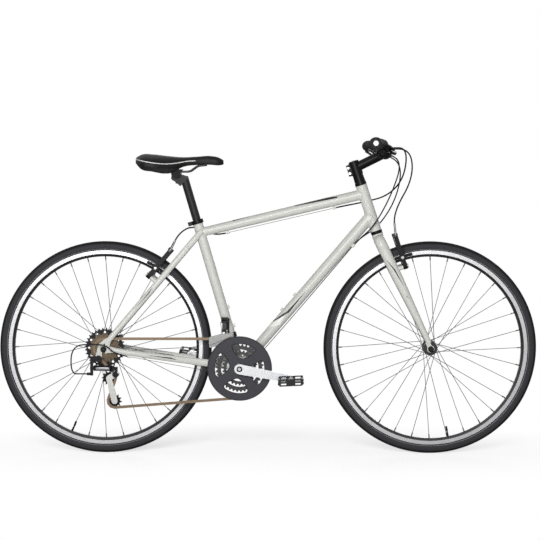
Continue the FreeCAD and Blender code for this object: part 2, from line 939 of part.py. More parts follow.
stem_root = stem_high - steer_up * 18
stem_along = level(90 - float(s.head_angle) + float(s.stem_rise))
stem_top = Y.cross(stem_along) * -1
bar_at = stem_root + stem_along * float(s.stem_length)
clamp_half = s.bar_clamp_width / 2
stem_core = cylinder("stem_core", s.stem_clamp_d / 2, s.stem_clamp_height, stem_low, steer_up)
steerer_way = cylinder("steerer_way", steer_r, s.stem_clamp_height, stem_low, steer_up)
extension = cylinder("extension", s.stem_extension_d / 2, s.stem_length, stem_root, stem_along)
clamp_end = bar_at - Y * float(clamp_half)
bar_clamp = cylinder("bar_clamp", s.bar_clamp_d / 2, s.bar_clamp_width, clamp_end, Y)
bar_seat = cylinder("bar_seat", s.bar_centre_d / 2, s.bar_clamp_width, clamp_end, Y)
lug_back = stem_low + steer_up * float(s.stem_clamp_height / 2) - steer_ahead * 20
rear_lug = block("pinch_lug", 16, 24, 38, lug_back, steer_up, steer_ahead)
rear_split = block("pinch_split", 24, 2, 60, lug_back - steer_ahead * 3, steer_up, steer_ahead)
face_cut = block("face_cut", 1.6, 60, 60, bar_at + stem_along * 1.0, stem_top, stem_along)
front_side = block("front_side", 60, 60, 80, bar_at + stem_along * 31.8, stem_top, stem_along)
stem_body = fuse("stem_body", stem_core, extension, bar_clamp, rear_lug)
whole_stem = cut("stem_body", stem_body, steerer_way, bar_seat, rear_split)
plate = cut("faceplate", bar_clamp, bar_seat)
face_half = doc.addObject("Part::Common", "faceplate")
face_half.Base = plate
face_half.Tool = front_side
stem_pieces = [cut("stem_body", whole_stem, face_cut, front_side), face_half]
for way in (-1, 1):
    for rise in (-1, 1):
        spot = bar_at + stem_top * (18.4 * rise) + Y * (13.0 * way)
        head = cylinder("face_bolt", 2.4, 5, spot + stem_along * 10.2, stem_along)
        stem_pieces.append(cut("face_bolt", head, bar_clamp))
for rise in (-9, 9):
    spot = lug_back + steer_up * rise - steer_ahead * 3.5 - Y * 15
    stem_pieces.append(cylinder("pinch_bolt", 4, 3, spot, Y))
cap = turned(
    "top_cap",
    [(0, 0), (s.stem_clamp_d / 2 - 2, 0), (s.stem_clamp_d / 2 - 3, 5), (0, 7)],
    stem_high,
    steer_up,
)
node("stem", *stem_pieces, cap)

# handlebar and grips

bar_half = s.bar_width / 2
rise_y = 112.0


def bar_point(x, y, z):
    """A point in the handlebar's own frame."""
    return bar_at + vec(x, y, z)


def bar_bend(way):
    """The corners of one half of the handlebar."""
    return [
        bar_at,
        bar_point(0, 58 * way, 0),
        bar_point(-9, rise_y * way, s.bar_rise - 1),
        bar_point(-s.bar_sweep, bar_half * way, s.bar_rise),
    ]


def bar_side(way):
    """One half of the handlebar."""
    bend = bar_bend(way)
    return swept(bend, s.bar_d / 2, 70)


def along_grip(way, distance):
    """A point of the bar's straight end, measured in from its tip."""
    bend = bar_bend(way)
    return bend[-1] - unit(bend[-1] - bend[-2]) * distance


def grip_out(way):
    """The direction of one grip, towards its end."""
    bend = bar_bend(way)
    return unit(bend[-1] - bend[-2])


bar_middle = cylinder("bar_middle", s.bar_centre_d / 2, 90, bar_at - Y * 45, Y)
bar_halves = [solid("bar_half", bar_side(way)) for way in (-1, 1)]
bar_bores = [solid("bar_bore", swept(bar_bend(way), s.bar_d / 2 - 2, 70)) for way in (-1, 1)]
node("handlebar", cut("handlebar", fuse("handlebar", bar_middle, *bar_halves), *bar_bores))


def grip(way):
    """One grip, flared to a palm rest at its outer end."""
    out = grip_out(way)
    lean = unit(Vector(1, 0, -0.12))
    back = unit(lean - out * lean.dot(out))
    length = float(s.grip_length)
    shapes = (
        (0.0, 16.6, 16.4, 0.0),
        (0.06, 17.2, 17.0, 0.0),
        (0.4, 16.2, 15.8, 0.0),
        (0.68, 19.5, 17.2, -2.0),
        (0.9, 26.0, 19.6, -6.0),
        (1.0, 24.5, 18.6, -6.5),
    )
    stations = []
    for share, long_half, short_half, shift in shapes:
        middle = along_grip(way, length * (1 - share)) + back * shift
        stations.append((middle, out, back, long_half, short_half))
    sleeve = lofted(stations)
    bore = rod(s.bar_d / 2, along_grip(way, length + 5), along_grip(way, -5))
    plug = rod(s.bar_d / 2 - 2, along_grip(way, 20), along_grip(way, 0))
    flange = rod(14, along_grip(way, 0), along_grip(way, -3.5))
    return [sleeve.cut(bore), plug.fuse(flange).removeSplitter()]


node("grips", *[solid("grip", shape) for way in (-1, 1) for shape in grip(way)])

# brake and shift controls

lever_down = math.radians(float(s.lever_drop))
lever_thick = 9.0


def lever_axes(way):
    """The lever's plane: outward along the bar, forward to the lever, and its normal."""
    out = grip_out(way)
    ahead = Vector(math.cos(lever_down), 0, -math.sin(lever_down))
    ahead = unit(ahead - out * ahead.dot(out))
    normal = out.cross(ahead) * -way
    return out, ahead, unit(normal)


def lever_frame(way, lift):
    """The placement of an outline drawn as (outward, forward) in the lever's plane."""
    out, ahead, _ = lever_axes(way)
    up = out.cross(ahead)
    origin = along_grip(way, float(s.grip_length) + 32)
    return posed(origin + up * lift, up, out)


def in_lever(way, a, b, c=0.0):
    """A point by its distance outward, forward and above the lever's plane."""
    out, ahead, normal = lever_axes(way)
    return along_grip(way, float(s.grip_length) + 32) + out * a + ahead * b + normal * c


def control_pod(way):
    """The brake bracket with its clamp, and the shifter housing under it."""
    normal = lever_axes(way)[2]
    out = grip_out(way)
    ears = [(-26, 9), (10, 9), (13, 26), (13, 34), (4, 43, 9.2), (-5, 43), (-14, 31), (-26, 25)]
    bracket = pad("bracket", ears, 19, lever_frame(way, -9.5))
    band = cylinder("band", s.bar_d / 2 + 4.5, 19, in_lever(way, -19, 0), out)
    nose = cylinder("adjuster", 4.6, 16, in_lever(way, -40, 19), out)
    pin = cylinder("lever_pin", 2.5, 19, in_lever(way, 0, 34, -9.5), normal)
    shape = fuse("bracket", bracket, band, nose)
    gap = block("lever_gap", 46, 30, lever_thick + 2 * s.move_gap, in_lever(way, 10, 41), normal, out)
    bar_way = cylinder("bar_way", s.bar_d / 2, 60, in_lever(way, -45, 0), out)
    inlet = cylinder("inlet", s.brake_housing_d / 2, 10, in_lever(way, -40, 19), out)
    bar = bar_halves[0 if way < 0 else 1]
    bracket = fuse("bracket", cut("bracket", shape, gap, bar_way, bar, inlet), pin)
    drum_at = in_lever(way, -6, 15, -29)
    drum = cylinder("drum", 23, 17, drum_at, normal)
    dome = cone("dome", 23, 17, 5, drum_at, -normal)
    neck = block("neck", 18, 14, 8, in_lever(way, -12, 18, -11), normal, out)
    nozzle = cylinder("nozzle", 4.4, 18, in_lever(way, -44, 17, -20), out)
    spigot = cylinder("spigot", 3, 14, drum_at - normal * 15, normal)
    keeper = cylinder("keeper", 6, 2, drum_at - normal * 15, normal)
    pod = fuse("pod", drum, dome, nozzle, neck, spigot, keeper)
    let_in = cylinder("shift_inlet", s.shift_housing_d / 2, 9, in_lever(way, -44, 17, -20), out)
    return [bracket, cut("pod", pod, let_in, bar_way, bar, shape)]


def brake_lever(way):
    """One brake lever blade."""
    edge = [
        (0, 27, 7),
        (10, 30),
        (26, 43),
        (66, 50, -110),
        (112, 47.5, -220),
        (126, 54, 22),
        (122, 59.5, 4.2),
        (108, 57.5),
        (66, 60, 220),
        (20, 52.5, 110),
        (-3, 41.5),
        (-7, 34, 9),
    ]
    frame = lever_frame(way, -lever_thick / 2)
    return pad("lever", edge, lever_thick, frame, [(0, 34, 2.5 + s.run_gap)])


def shift_lever(way):
    """One thumb lever under its shifter."""
    _, _, normal = lever_axes(way)
    edge = [(9, 0), (0, 9, 9), (-9, 0, 9), (-5, -36), (2, -44, 8), (17, -40), (19, -33, 6)]
    frame = lever_frame(way, 0.0)
    at = frame.multVec(Vector(-6, 15, 0)) + normal * -41
    turn = Placement(at, frame.Rotation)
    up = grip_out(way).cross(lever_axes(way)[1])
    turn.Base = at + normal * 5.0 if up.dot(normal) < 0 else at
    return pad("thumb_lever", edge, 5.0, turn, [(0, 0, 3 + s.run_gap)])


pods = {way: control_pod(way) for way in (-1, 1)}
node("control_pods", *pods[-1], *pods[1])
node("right_brake_lever", brake_lever(-1))
node("left_brake_lever", brake_lever(1))
node("right_shift_lever", shift_lever(-1))
node("left_shift_lever", shift_lever(1))

# wheels

tyre_half = s.tyre_section / 2
tyre_middle = s.tyre_radius - tyre_half
bead_r = s.rim_radius - s.bead_height
rim_half = s.rim_width / 2
bead_half = rim_half - s.rim_wall


def tyre(name, axle):
    flare = s.rim_radius + 2
    inner_r = tyre_half - s.tyre_wall
    outline = [
        (bead_r + s.seat_gap, bead_half - s.seat_gap),
        (flare - 1, bead_half - s.seat_gap),
        (flare, bead_half + 5),
        (tyre_middle, tyre_half, tyre_half * -1),
        (s.tyre_radius, 0, tyre_half * -1),
        (tyre_middle, -tyre_half, tyre_half * -1),
        (flare, -bead_half - 5, tyre_half * -1),
        (flare - 1, s.seat_gap - bead_half),
        (bead_r + s.seat_gap, s.seat_gap - bead_half),
        (bead_r + s.seat_gap, s.seat_gap + 2.2 - bead_half),
        (flare + 1, 2 - bead_half),
        (tyre_middle, -inner_r, inner_r),
        (s.tyre_radius - s.tyre_wall, 0, inner_r),
        (tyre_middle, inner_r, inner_r),
        (flare + 1, bead_half - 2, inner_r),
        (bead_r + s.seat_gap, bead_half - 2.2 - s.seat_gap),
    ]
    return node(name, turned("tyre", outline, axle))


def rim(name, axle):
    low = s.rim_radius - s.rim_depth
    track = s.rim_radius - s.brake_track
    half = [
        (low, s.rim_bed / 2),
        (track, rim_half),
        (s.rim_radius, rim_half),
        (s.rim_radius, bead_half),
        (bead_r, bead_half),
        (bead_r - s.rim_well, s.rim_bed / 2 - 2),
    ]
    other = [(r, -y) for r, y in reversed(half)]
    return node(name, turned("rim", half + other, axle))


def spokes(name, axle, left, right):
    """Crossed spokes with their nipples, laid against both faces of each flange."""
    count = int(float(s.spoke_count))
    per_side = count // 2
    step = 2 * math.pi / per_side
    spoke_r = float(s.spoke_d) / 2
    off = float(s.flange_thick) / 2 + spoke_r + float(s.seat_gap)
    seat_r = float(s.rim_radius - s.rim_depth) - float(s.seat_gap)
    rods = []
    for flange, way, shift in ((float(left), 1, 0.0), (float(right), -1, step / 2)):
        for k in range(per_side):
            lead = 1 if k % 2 else -1
            clear = off + 0.5 if lead > 0 else off
            a = step * k + shift
            b = a + lead * 3 * step
            hub_r = float(s.spoke_hole_r)
            start = Vector(hub_r * math.cos(a), way * (flange + lead * clear), hub_r * math.sin(a))
            end = Vector(seat_r * math.cos(b), way * 1.5, seat_r * math.sin(b))
            along = unit(end - start)
            neck = end - along * float(s.nipple_length)
            shank = rod(spoke_r, axle + start, axle + end)
            rods.append(shank.fuse(rod(s.nipple_d / 2, axle + neck, axle + end)))
    return node(name, *[solid("spoke", shape.removeSplitter()) for shape in rods])


def flange(middle, barrel):
    """The corners of one hub flange, from its inner face out."""
    half = s.flange_thick / 2
    return [
        (barrel, middle - half),
        (s.flange_r, middle - half),
        (s.flange_r, middle + half),
        (barrel, middle + half),
    ]


hub_bore = s.cone_r + s.run_gap
front_hub_end = s.front_flange + 8
rear_hub_end = s.rear_flange_left + 8
cog_face = s.chain_line + s.cog_pitch + s.sprocket_thick / 2
boss_end = s.rear_flange_right + 16


def front_hub():
    outline = [
        (hub_bore, -front_hub_end),
        (s.front_barrel_r, -front_hub_end),
        *flange(-s.front_flange, s.front_barrel_r),
        *flange(s.front_flange, s.front_barrel_r),
        (s.front_barrel_r, front_hub_end),
        (hub_bore, front_hub_end),
    ]
    return node("front_hub", turned("front_hub", outline, front_axle))


def rear_hub():
    outline = [
        (hub_bore, -boss_end),
        (s.freewheel_boss_r, -boss_end),
        (s.freewheel_boss_r, -s.rear_flange_right - s.flange_thick / 2 - 1),
        (s.rear_barrel_r, -s.rear_flange_right - s.flange_thick / 2 - 1),
        *flange(-s.rear_flange_right, s.rear_barrel_r),
        *flange(s.rear_flange_left, s.rear_barrel_r),
        (s.rear_barrel_r, rear_hub_end),
        (hub_bore, rear_hub_end),
    ]
    return node("rear_hub", turned("rear_hub", outline, rear_axle))


tyre("front_tyre", front_axle)
rim("front_rim", front_axle)
spokes("front_spokes", front_axle, s.front_flange, s.front_flange)
front_hub()
tyre("rear_tyre", rear_axle)
rim("rear_rim", rear_axle)
spokes("rear_spokes", rear_axle, s.rear_flange_left, s.rear_flange_right)
rear_hub()

# axles and quick-release levers


def skewer(name, axle, space, cones, arm):
    """A fixed axle with its bearing cones, end nut and the fork of the release lever."""
    half = space / 2
    inner = half - s.seat_gap
    outer = half + s.dropout_thick + s.seat_gap
    outline = [
        (0, -outer - 13),
        (6, -outer - 13),
        (9.5, -outer - 9),
        (9.5, -outer),
        (s.axle_r, -outer),
        (s.axle_r, -inner),
        (7.5, -inner),
        (7.5, -cones[0]),
        (s.cone_r, -cones[0]),
        (s.cone_r, -cones[1]),
        (s.axle_r, -cones[1]),
        (s.axle_r, cones[2]),
        (s.cone_r, cones[2]),
        (s.cone_r, cones[3]),
        (7.5, cones[3]),
        (7.5, inner),
        (s.axle_r, inner),
        (s.axle_r, outer),
        (9, outer),
        (9, outer + 4),
        (0, outer + 4),
    ]
    shaft = turned("axle", outline, axle)
    hinge = side(axle, outer + 11)
    wide = Y.cross(arm)
    ears = []
    for way in (-1, 1):
        ears.append(block("ear", 3, 10, 12, hinge + wide * (8.8 * way) - Y * 4, Y, wide))
    pin = cylinder("cam_pin", 2.5, 19, hinge - wide * 9.5, wide)
    barrel = cylinder("cam", 6, 14, hinge - wide * 7, wide)
    handle = pad(
        "handle",
        stadium(0, 0, 52, 0, 5.2, 6.2),
        5,
        posed(hinge + Y * -1.0, Y, arm),
    )
    bore = cylinder("cam_bore", 2.5 + s.run_gap, 30, hinge - wide * 15, wide)
    lever = cut("cam", fuse("cam", barrel, handle), bore)
    node(f"{name}_skewer", fuse("skewer", shaft, *ears, pin))
    node(f"{name}_qr_lever", lever)


front_cones = (s.front_flange + 9, s.front_flange + 1, s.front_flange + 1, s.front_flange + 9)
rear_cones = (
    s.rear_flange_right + 15,
    s.rear_flange_right + 7,
    s.rear_flange_left + 1,
    s.rear_flange_left + 9,
)
skewer("front", front_axle, s.front_space, front_cones, -blade_along)
skewer("rear", rear_axle, s.rear_space, rear_cones, unit(stay_along + X * 0.5))

# sprockets and chain route

link_half = 1.25
plate_thick = 1.0
guide_at_rest = rear_axle + Vector(15.5, 0, -96)
tension_at_rest = rear_axle + Vector(33.5, 0, -171)


def flat(point):
    """A point's place in the side view."""
    return point.x, point.z


def belt(stops):
    """The closed run round sprockets given as (middle, radius, turn), as legs and arcs."""
    legs = []
    for i, (a, r, turn) in enumerate(stops):
        b, far_r, far_turn = stops[(i + 1) % len(stops)]
        across_x = b[0] - a[0]
        across_z = b[1] - a[1]
        lead = math.asin((far_turn * far_r - turn * r) / math.hypot(across_x, across_z))
        angle = math.atan2(across_z, across_x) - lead
        left = (-math.sin(angle), math.cos(angle))
        p = (a[0] - turn * r * left[0], a[1] - turn * r * left[1])
        q = (b[0] - far_turn * far_r * left[0], b[1] - far_turn * far_r * left[1])
        legs.append((p, q))
    return legs


def spaced(stops, legs, count):
    """Points at even distances along the belt, and the belt's length."""
    runs = []
    for i, (p, q) in enumerate(legs):
        runs.append((math.dist(p, q), p, q, None))
        middle, r, turn = stops[(i + 1) % len(stops)]
        after = legs[(i + 1) % len(legs)][0]
        first = math.atan2(q[1] - middle[1], q[0] - middle[0])
        last = math.atan2(after[1] - middle[1], after[0] - middle[0])
        sweep = ((last - first) * turn) % (2 * math.pi)
        runs.append((r * sweep, middle, (first, turn * r), (i + 1) % len(stops)))
    length = sum(run[0] for run in runs)
    points = []
    held = {}
    for k in range(count):
        rest = length * k / count
        for size, a, b, sprocket in runs:
            if rest <= size:
                break
            rest -= size
        if sprocket is None:
            points.append(tuple(p + (q - p) * rest / size for p, q in zip(a, b)))
            continue
        angle = b[0] + rest / b[1]
        points.append((a[0] + abs(b[1]) * math.cos(angle), a[1] + abs(b[1]) * math.sin(angle)))
        held.setdefault(sprocket, angle)
    return points, held, length


def arc_r(teeth, pitch):
    """The radius whose arcs between teeth are one pitch long."""
    return float(teeth) * pitch / (2 * math.pi)


pitch = float(s.chain_pitch)
for _ in range(6):
    chain_stops = [
        (flat(bb), arc_r(s.big_ring, pitch), -1),
        (flat(tension_at_rest), arc_r(s.pulley_teeth, pitch), -1),
        (flat(guide_at_rest), arc_r(s.pulley_teeth, pitch), 1),
        (flat(rear_axle), arc_r(s.driven_cog, pitch), -1),
    ]
    chain_legs = belt(chain_stops)
    rollers, held, chain_length = spaced(chain_stops, chain_legs, 106)
    link_count = 2 * round(chain_length / float(s.chain_pitch) / 2)
    pitch = chain_length / link_count
rollers, held, chain_length = spaced(chain_stops, chain_legs, link_count)


def sprocket(teeth, middle, y, phase, bore, holes=()):
    """A toothed ring with a gap centred on the phase angle."""
    count = int(float(teeth))
    r = arc_r(teeth, pitch)
    tip = r + 2.2
    seat = float(s.roller_r) + 0.3
    edges = []
    corners = []
    for k in range(count):
        a = phase + 2 * math.pi * k / count
        rise = Vector(math.cos(a), 0, math.sin(a))
        turn = Vector(-math.sin(a), 0, math.cos(a))
        spots = []
        for beta in (242, 180, 118):
            b = math.radians(beta)
            spots.append(rise * (r + seat * math.cos(b)) + turn * (seat * math.sin(b)))
        half = 0.9 / tip
        tips = []
        for angle in (a + math.pi / count - half, a + math.pi / count + half):
            tips.append(Vector(tip * math.cos(angle), 0, tip * math.sin(angle)))
        corners.append((spots, tips))
    for k, (spots, tips) in enumerate(corners):
        after = corners[(k + 1) % count][0][0]
        edges.append(Part.Arc(*spots).toShape())
        edges.append(Part.LineSegment(spots[2], tips[0]).toShape())
        edges.append(Part.LineSegment(tips[0], tips[1]).toShape())
        edges.append(Part.LineSegment(tips[1], after).toShape())
    wires = [Part.Wire(edges), Part.Wire([Part.Circle(Vector(), Y, float(bore)).toShape()])]
    for x, z, hole_r in holes:
        wires.append(Part.Wire([Part.Circle(Vector(x, 0, z), Y, float(hole_r)).toShape()]))
    face = Part.makeFace(wires, "Part::FaceMakerBullseye")
    shape = face.extrude(Y * float(s.sprocket_thick))
    shape.translate(side(middle, y - float(s.sprocket_thick) / 2))
    return shape


def ringed(count, radius, hole_r, start=0.0):
    """Evenly spaced round holes on a circle."""
    angles = [start + 2 * math.pi * k / count for k in range(count)]
    return [(radius * math.cos(a), radius * math.sin(a), hole_r) for a in angles]


def plate_between(length, y, holes):
    """A rounded chain plate with two holes."""
    r = float(s.plate_r)
    lower = [Vector(0, y, -r), Vector(length, y, -r)]
    upper = [Vector(length, y, r), Vector(0, y, r)]
    wire = Part.Wire(
        [
            Part.LineSegment(*lower).toShape(),
            Part.Arc(lower[1], Vector(length + r, y, 0), upper[0]).toShape(),
            Part.LineSegment(*upper).toShape(),
            Part.Arc(upper[1], Vector(-r, y, 0), lower[0]).toShape(),
        ]
    )
    wires = [wire]
    if holes:
        for x in (0, length):
            wires.append(Part.Wire([Part.Circle(Vector(x, y, 0), Y, holes).toShape()]))
    return Part.makeFace(wires, "Part::FaceMakerBullseye").extrude(Y * plate_thick)


def inner_link(length):
    """Two inner plates and two rollers as one piece."""
    hole = float(s.pin_r) + 0.1
    low = plate_between(length, -link_half - plate_thick, hole)
    high = plate_between(length, link_half, hole)
    shape = low.fuse(high)
    for x in (0, length):
        start = Vector(x, -link_half, 0)
        end = Vector(x, link_half, 0)
        shape = shape.fuse(rod(s.roller_r, start, end).cut(rod(hole, start, end)))
    return shape.removeSplitter()


def outer_link(length):
    """Two outer plates and two pins as one piece."""
    inside = link_half + plate_thick + 0.1
    low = plate_between(length, -inside - plate_thick, 0)
    high = plate_between(length, inside, 0)
    shape = low.fuse(high)
    for x in (0, length):
        end = inside + plate_thick
        shape = shape.fuse(rod(s.pin_r, Vector(x, -end, 0), Vector(x, end, 0)))
    return shape.removeSplitter()


def chain_links():
    """Every link of the chain in its place."""
    made = {}
    links = []
    for k, start in enumerate(rollers):
        end = rollers[(k + 1) % len(rollers)]
        length = round(math.dist(start, end), 3)
        kind = inner_link if k % 2 else outer_link
        if (kind, length) not in made:
            made[kind, length] = kind(length)
        shape = made[kind, length].copy()
        turn = math.degrees(math.atan2(end[1] - start[1], end[0] - start[0]))
        spot = vec(start[0], -s.chain_line, start[1])
        shape.Placement = Placement(spot, Rotation(-Y, turn))
        links.append(solid("link", shape))
    return links


node("chain", *chain_links())

# freewheel

cog_teeth = (14, 16, 18, 20, 22, 24, 32)
core_bore = s.freewheel_boss_r + s.run_gap
core_inner = s.rear_flange_right + s.flange_thick / 2 + 3
cogs = []
for k, teeth in enumerate(cog_teeth):
    y = -float(s.chain_line) - float(s.cog_pitch) * (1 - k)
    holes = ringed(12, 52.0, 4.0) if teeth == 32 else ()
    phase = held[3] if teeth == 16 else 0.1 * k
    cogs.append(solid("cog", sprocket(teeth, rear_axle, y, phase, s.core_r, holes)))
core = turned(
    "freewheel_core",
    [
        (10, -cog_face - 1.5),
        (s.core_r, -cog_face - 1.5),
        (s.core_r, -core_inner),
        (core_bore, -core_inner),
        (core_bore, -boss_end - s.seat_gap),
        (10, -boss_end - s.seat_gap),
    ],
    rear_axle,
)
node("freewheel", *cogs, core)

# cranks, chainrings and guard

crank_along = level(s.crank_angle)
half_plate = s.sprocket_thick / 2
middle_y = s.chain_line - s.ring_pitch
small_y = s.chain_line - s.ring_pitch * 2
spider_outer = s.chain_line - half_plate
spider_inner = middle_y + half_plate
arm_phase = math.radians(float(s.crank_angle) + 45)

rings = [
    solid("big_ring", sprocket(s.big_ring, bb, -float(s.chain_line), held[0], 70)),
    solid("middle_ring", sprocket(s.middle_ring, bb, -float(middle_y), 0.05, 50)),
    solid("small_ring", sprocket(s.small_ring, bb, -float(small_y), 0.1, 34)),
]
for x, z, _ in ringed(4, 54.0, 0, arm_phase):
    spot = bb + vec(x, -middle_y + half_plate, z)
    length = s.ring_pitch - s.sprocket_thick
    rings.append(cylinder("ring_spacer", 3.2, length, spot, Y))
node("chainrings", *rings)


def crank_arm(way):
    """A crank arm with its boss, bored for the spindle and the pedal axle."""
    inner = s.crank_inner
    face = inner if way < 0 else inner + s.crank_thick
    frame = posed(side(bb, face * way), -Y, crank_along * -way)
    outline = stadium(0, 0, s.crank_length, 0, s.crank_boss_r, s.crank_end_r)
    arm = pad("crank_arm", outline, s.crank_thick, frame)
    reach = inner - (spider_inner - 2 if way < 0 else shell_half + 6)
    boss_at = side(bb, (inner - reach if way > 0 else inner) * way)
    boss = cylinder("crank_boss", s.crank_boss_r, reach, boss_at, Y)
    socket = cylinder("spindle_socket", s.spindle_r, inner - 2, bb, Y * way)
    eye = side(bb + crank_along * (float(s.crank_length) * -way), face * way)
    eye_hole = cylinder("pedal_eye", s.pedal_axle_r, s.crank_thick, eye, -Y)
    cap_at = side(bb, (inner + s.crank_thick) * way)
    cap_seat = cylinder("cap_seat", 11.5, 3, cap_at - Y * (3 * way), Y * way)
    cap = cylinder("crank_cap", 11.5, 2.2, cap_at - Y * (3 * way), Y * way)
    shape = cut("crank_arm", fuse("crank_arm", arm, boss), socket, eye_hole, cap_seat)
    return [shape, cap]


def spider():
    """Four arms that carry the chainrings on the right crank."""
    thick = spider_outer - spider_inner
    plate = ring("spider", s.crank_boss_r, 30, -spider_outer, -spider_inner, bb)
    pieces = [plate]
    for k in range(4):
        out = level(float(s.crank_angle) + 45 + 90 * k)
        middle = side(bb + out * 52, -(spider_outer + spider_inner) / 2)
        pieces.append(block("spider_arm", 50, 18, thick, middle, Y, out))
    return fuse("spider", *pieces)


def chain_guard():
    """The dark disc outside the big chainring, with four windows."""
    inner = s.chain_line + 4.0
    disc = ring("guard", s.crank_boss_r + 1, s.guard_r, -inner - s.guard_thick, -inner, bb)
    windows = []
    for k in range(4):
        turn = float(s.crank_angle) + 90 + 90 * k
        window = [
            (66, -40, 60),
            (76, -30, 12),
            (76, 30, 82),
            (66, 40, 12),
            (36, 10, 60),
            (36, -10, 16),
        ]
        pose = posed(side(bb, -inner + 1), -Y, level(turn))
        windows.append(pad("guard_window", window, s.guard_thick + 2, pose))
    posts = []
    for x, z, _ in ringed(4, 63.0, 0, arm_phase):
        spot = bb + vec(x, -inner, z)
        posts.append(cylinder("guard_post", 4.5, inner - spider_outer, spot, Y))
    return cut("guard", fuse("guard", disc, *posts), *windows)


pedal_inner = s.crank_inner + s.crank_thick + 3
pedal_outer = pedal_inner + s.pedal_width


def pedal_eye(way):
    """The middle of a pedal's axle at the middle plane."""
    return bb + crank_along * (float(s.crank_length) * -way)


node("right_crank", *crank_arm(-1), spider())
node("left_crank", *crank_arm(1))
node("chain_guard", chain_guard())
spindle_at = side(bb, -(s.crank_inner - 2))
axles = [cylinder("spindle", s.spindle_r, s.crank_inner * 2 - 4, spindle_at, Y)]
for way in (-1, 1):
    length = s.crank_thick + 3 + s.pedal_width - s.pedal_wall
    spot = side(pedal_eye(way), s.crank_inner * way)
    shaft = cylinder("pedal_axle", s.pedal_axle_r, length, spot, Y * way)
    collar_at = side(pedal_eye(way), (s.crank_inner + s.crank_thick) * way)
    collar_ring = cylinder("axle_collar", s.pedal_axle_r + 2, 2.5, collar_at, Y * way)
    axles.append(fuse("pedal_axle", shaft, collar_ring))
node("crank_axles", *axles)


def pedal(way, tilt):
    """A caged platform pedal on its barrel."""
    along = level(tilt)
    up = -Y.cross(along)
    half = s.pedal_length / 2
    tall = s.pedal_height / 2
    middle = side(pedal_eye(way), (pedal_inner + pedal_outer) / 2 * way)
    near = side(pedal_eye(way), pedal_inner * way)
    wall = s.pedal_wall
    ends = []
    for reach in (pedal_inner, pedal_outer - wall):
        spot = reach if way < 0 else reach + wall
        frame = posed(side(pedal_eye(way), spot * way), -Y, along)
        outline = [
            (-half + 7, -tall),
            (half - 7, -tall),
            (half, -tall + 7),
            (half - 3, tall),
            (-half + 3, tall),
            (-half, -tall + 7),
        ]
        plate = pad("pedal_plate", outline, wall, frame)
        for x in (-1, 1):
            for z in (-1, 1):
                spot_at = side(pedal_eye(way), (reach + wall / 2) * way)
                spot_at = spot_at + along * (23.0 * x) + up * (5.0 * z)
                hole = block("pedal_window", 17, wall + 2, 5.4, spot_at, up, along)
                plate = cut("pedal_plate", plate, hole)
        ends.append(plate)
    bars = []
    for x in (-1, 1):
        spot = middle + along * float((half - 4.5) * x)
        bars.append(block("pedal_bar", 6, s.pedal_width - 1, s.pedal_height - 8, spot, up, along))
        spot = middle + along * float(half / 2 * x)
        bars.append(block("pedal_web", half - 12, s.pedal_width - 2, 3, spot, up, along))
    barrel = cylinder("pedal_barrel", 10.5, s.pedal_width, near, Y * way)
    bore = cylinder("pedal_bore", s.pedal_axle_r + s.run_gap, s.pedal_width - 3, near, Y * way)
    return cut("pedal", fuse("pedal", *ends, *bars, barrel), bore)


node("right_pedal", pedal(-1, 2.6))
node("left_pedal", pedal(1, -8.6))

# rim brakes

pad_mid_r = s.rim_radius - s.brake_track / 2


def pad_block(axle, pivot, up, way):
    """A brake pad curved to the rim, with its post."""
    out = unit(pivot + up * float(s.pad_rise) - axle)
    low = float(pad_mid_r - s.pad_height / 2)
    high = float(pad_mid_r + s.pad_height / 2)
    near = float(rim_half + s.pad_gap) * way
    far = near + float(s.pad_thick) * way
    angle = math.degrees(float(s.pad_length) / float(pad_mid_r))
    corners = [
        axle + out * low + Y * near,
        axle + out * high + Y * near,
        axle + out * high + Y * far,
        axle + out * low + Y * far,
    ]
    face = Part.Face(Part.makePolygon(corners + corners[:1]))
    shoe = face.revolve(axle, Y, angle)
    shoe.rotate(axle, Y, -angle / 2)
    return solid("brake_pad", shoe), out, far


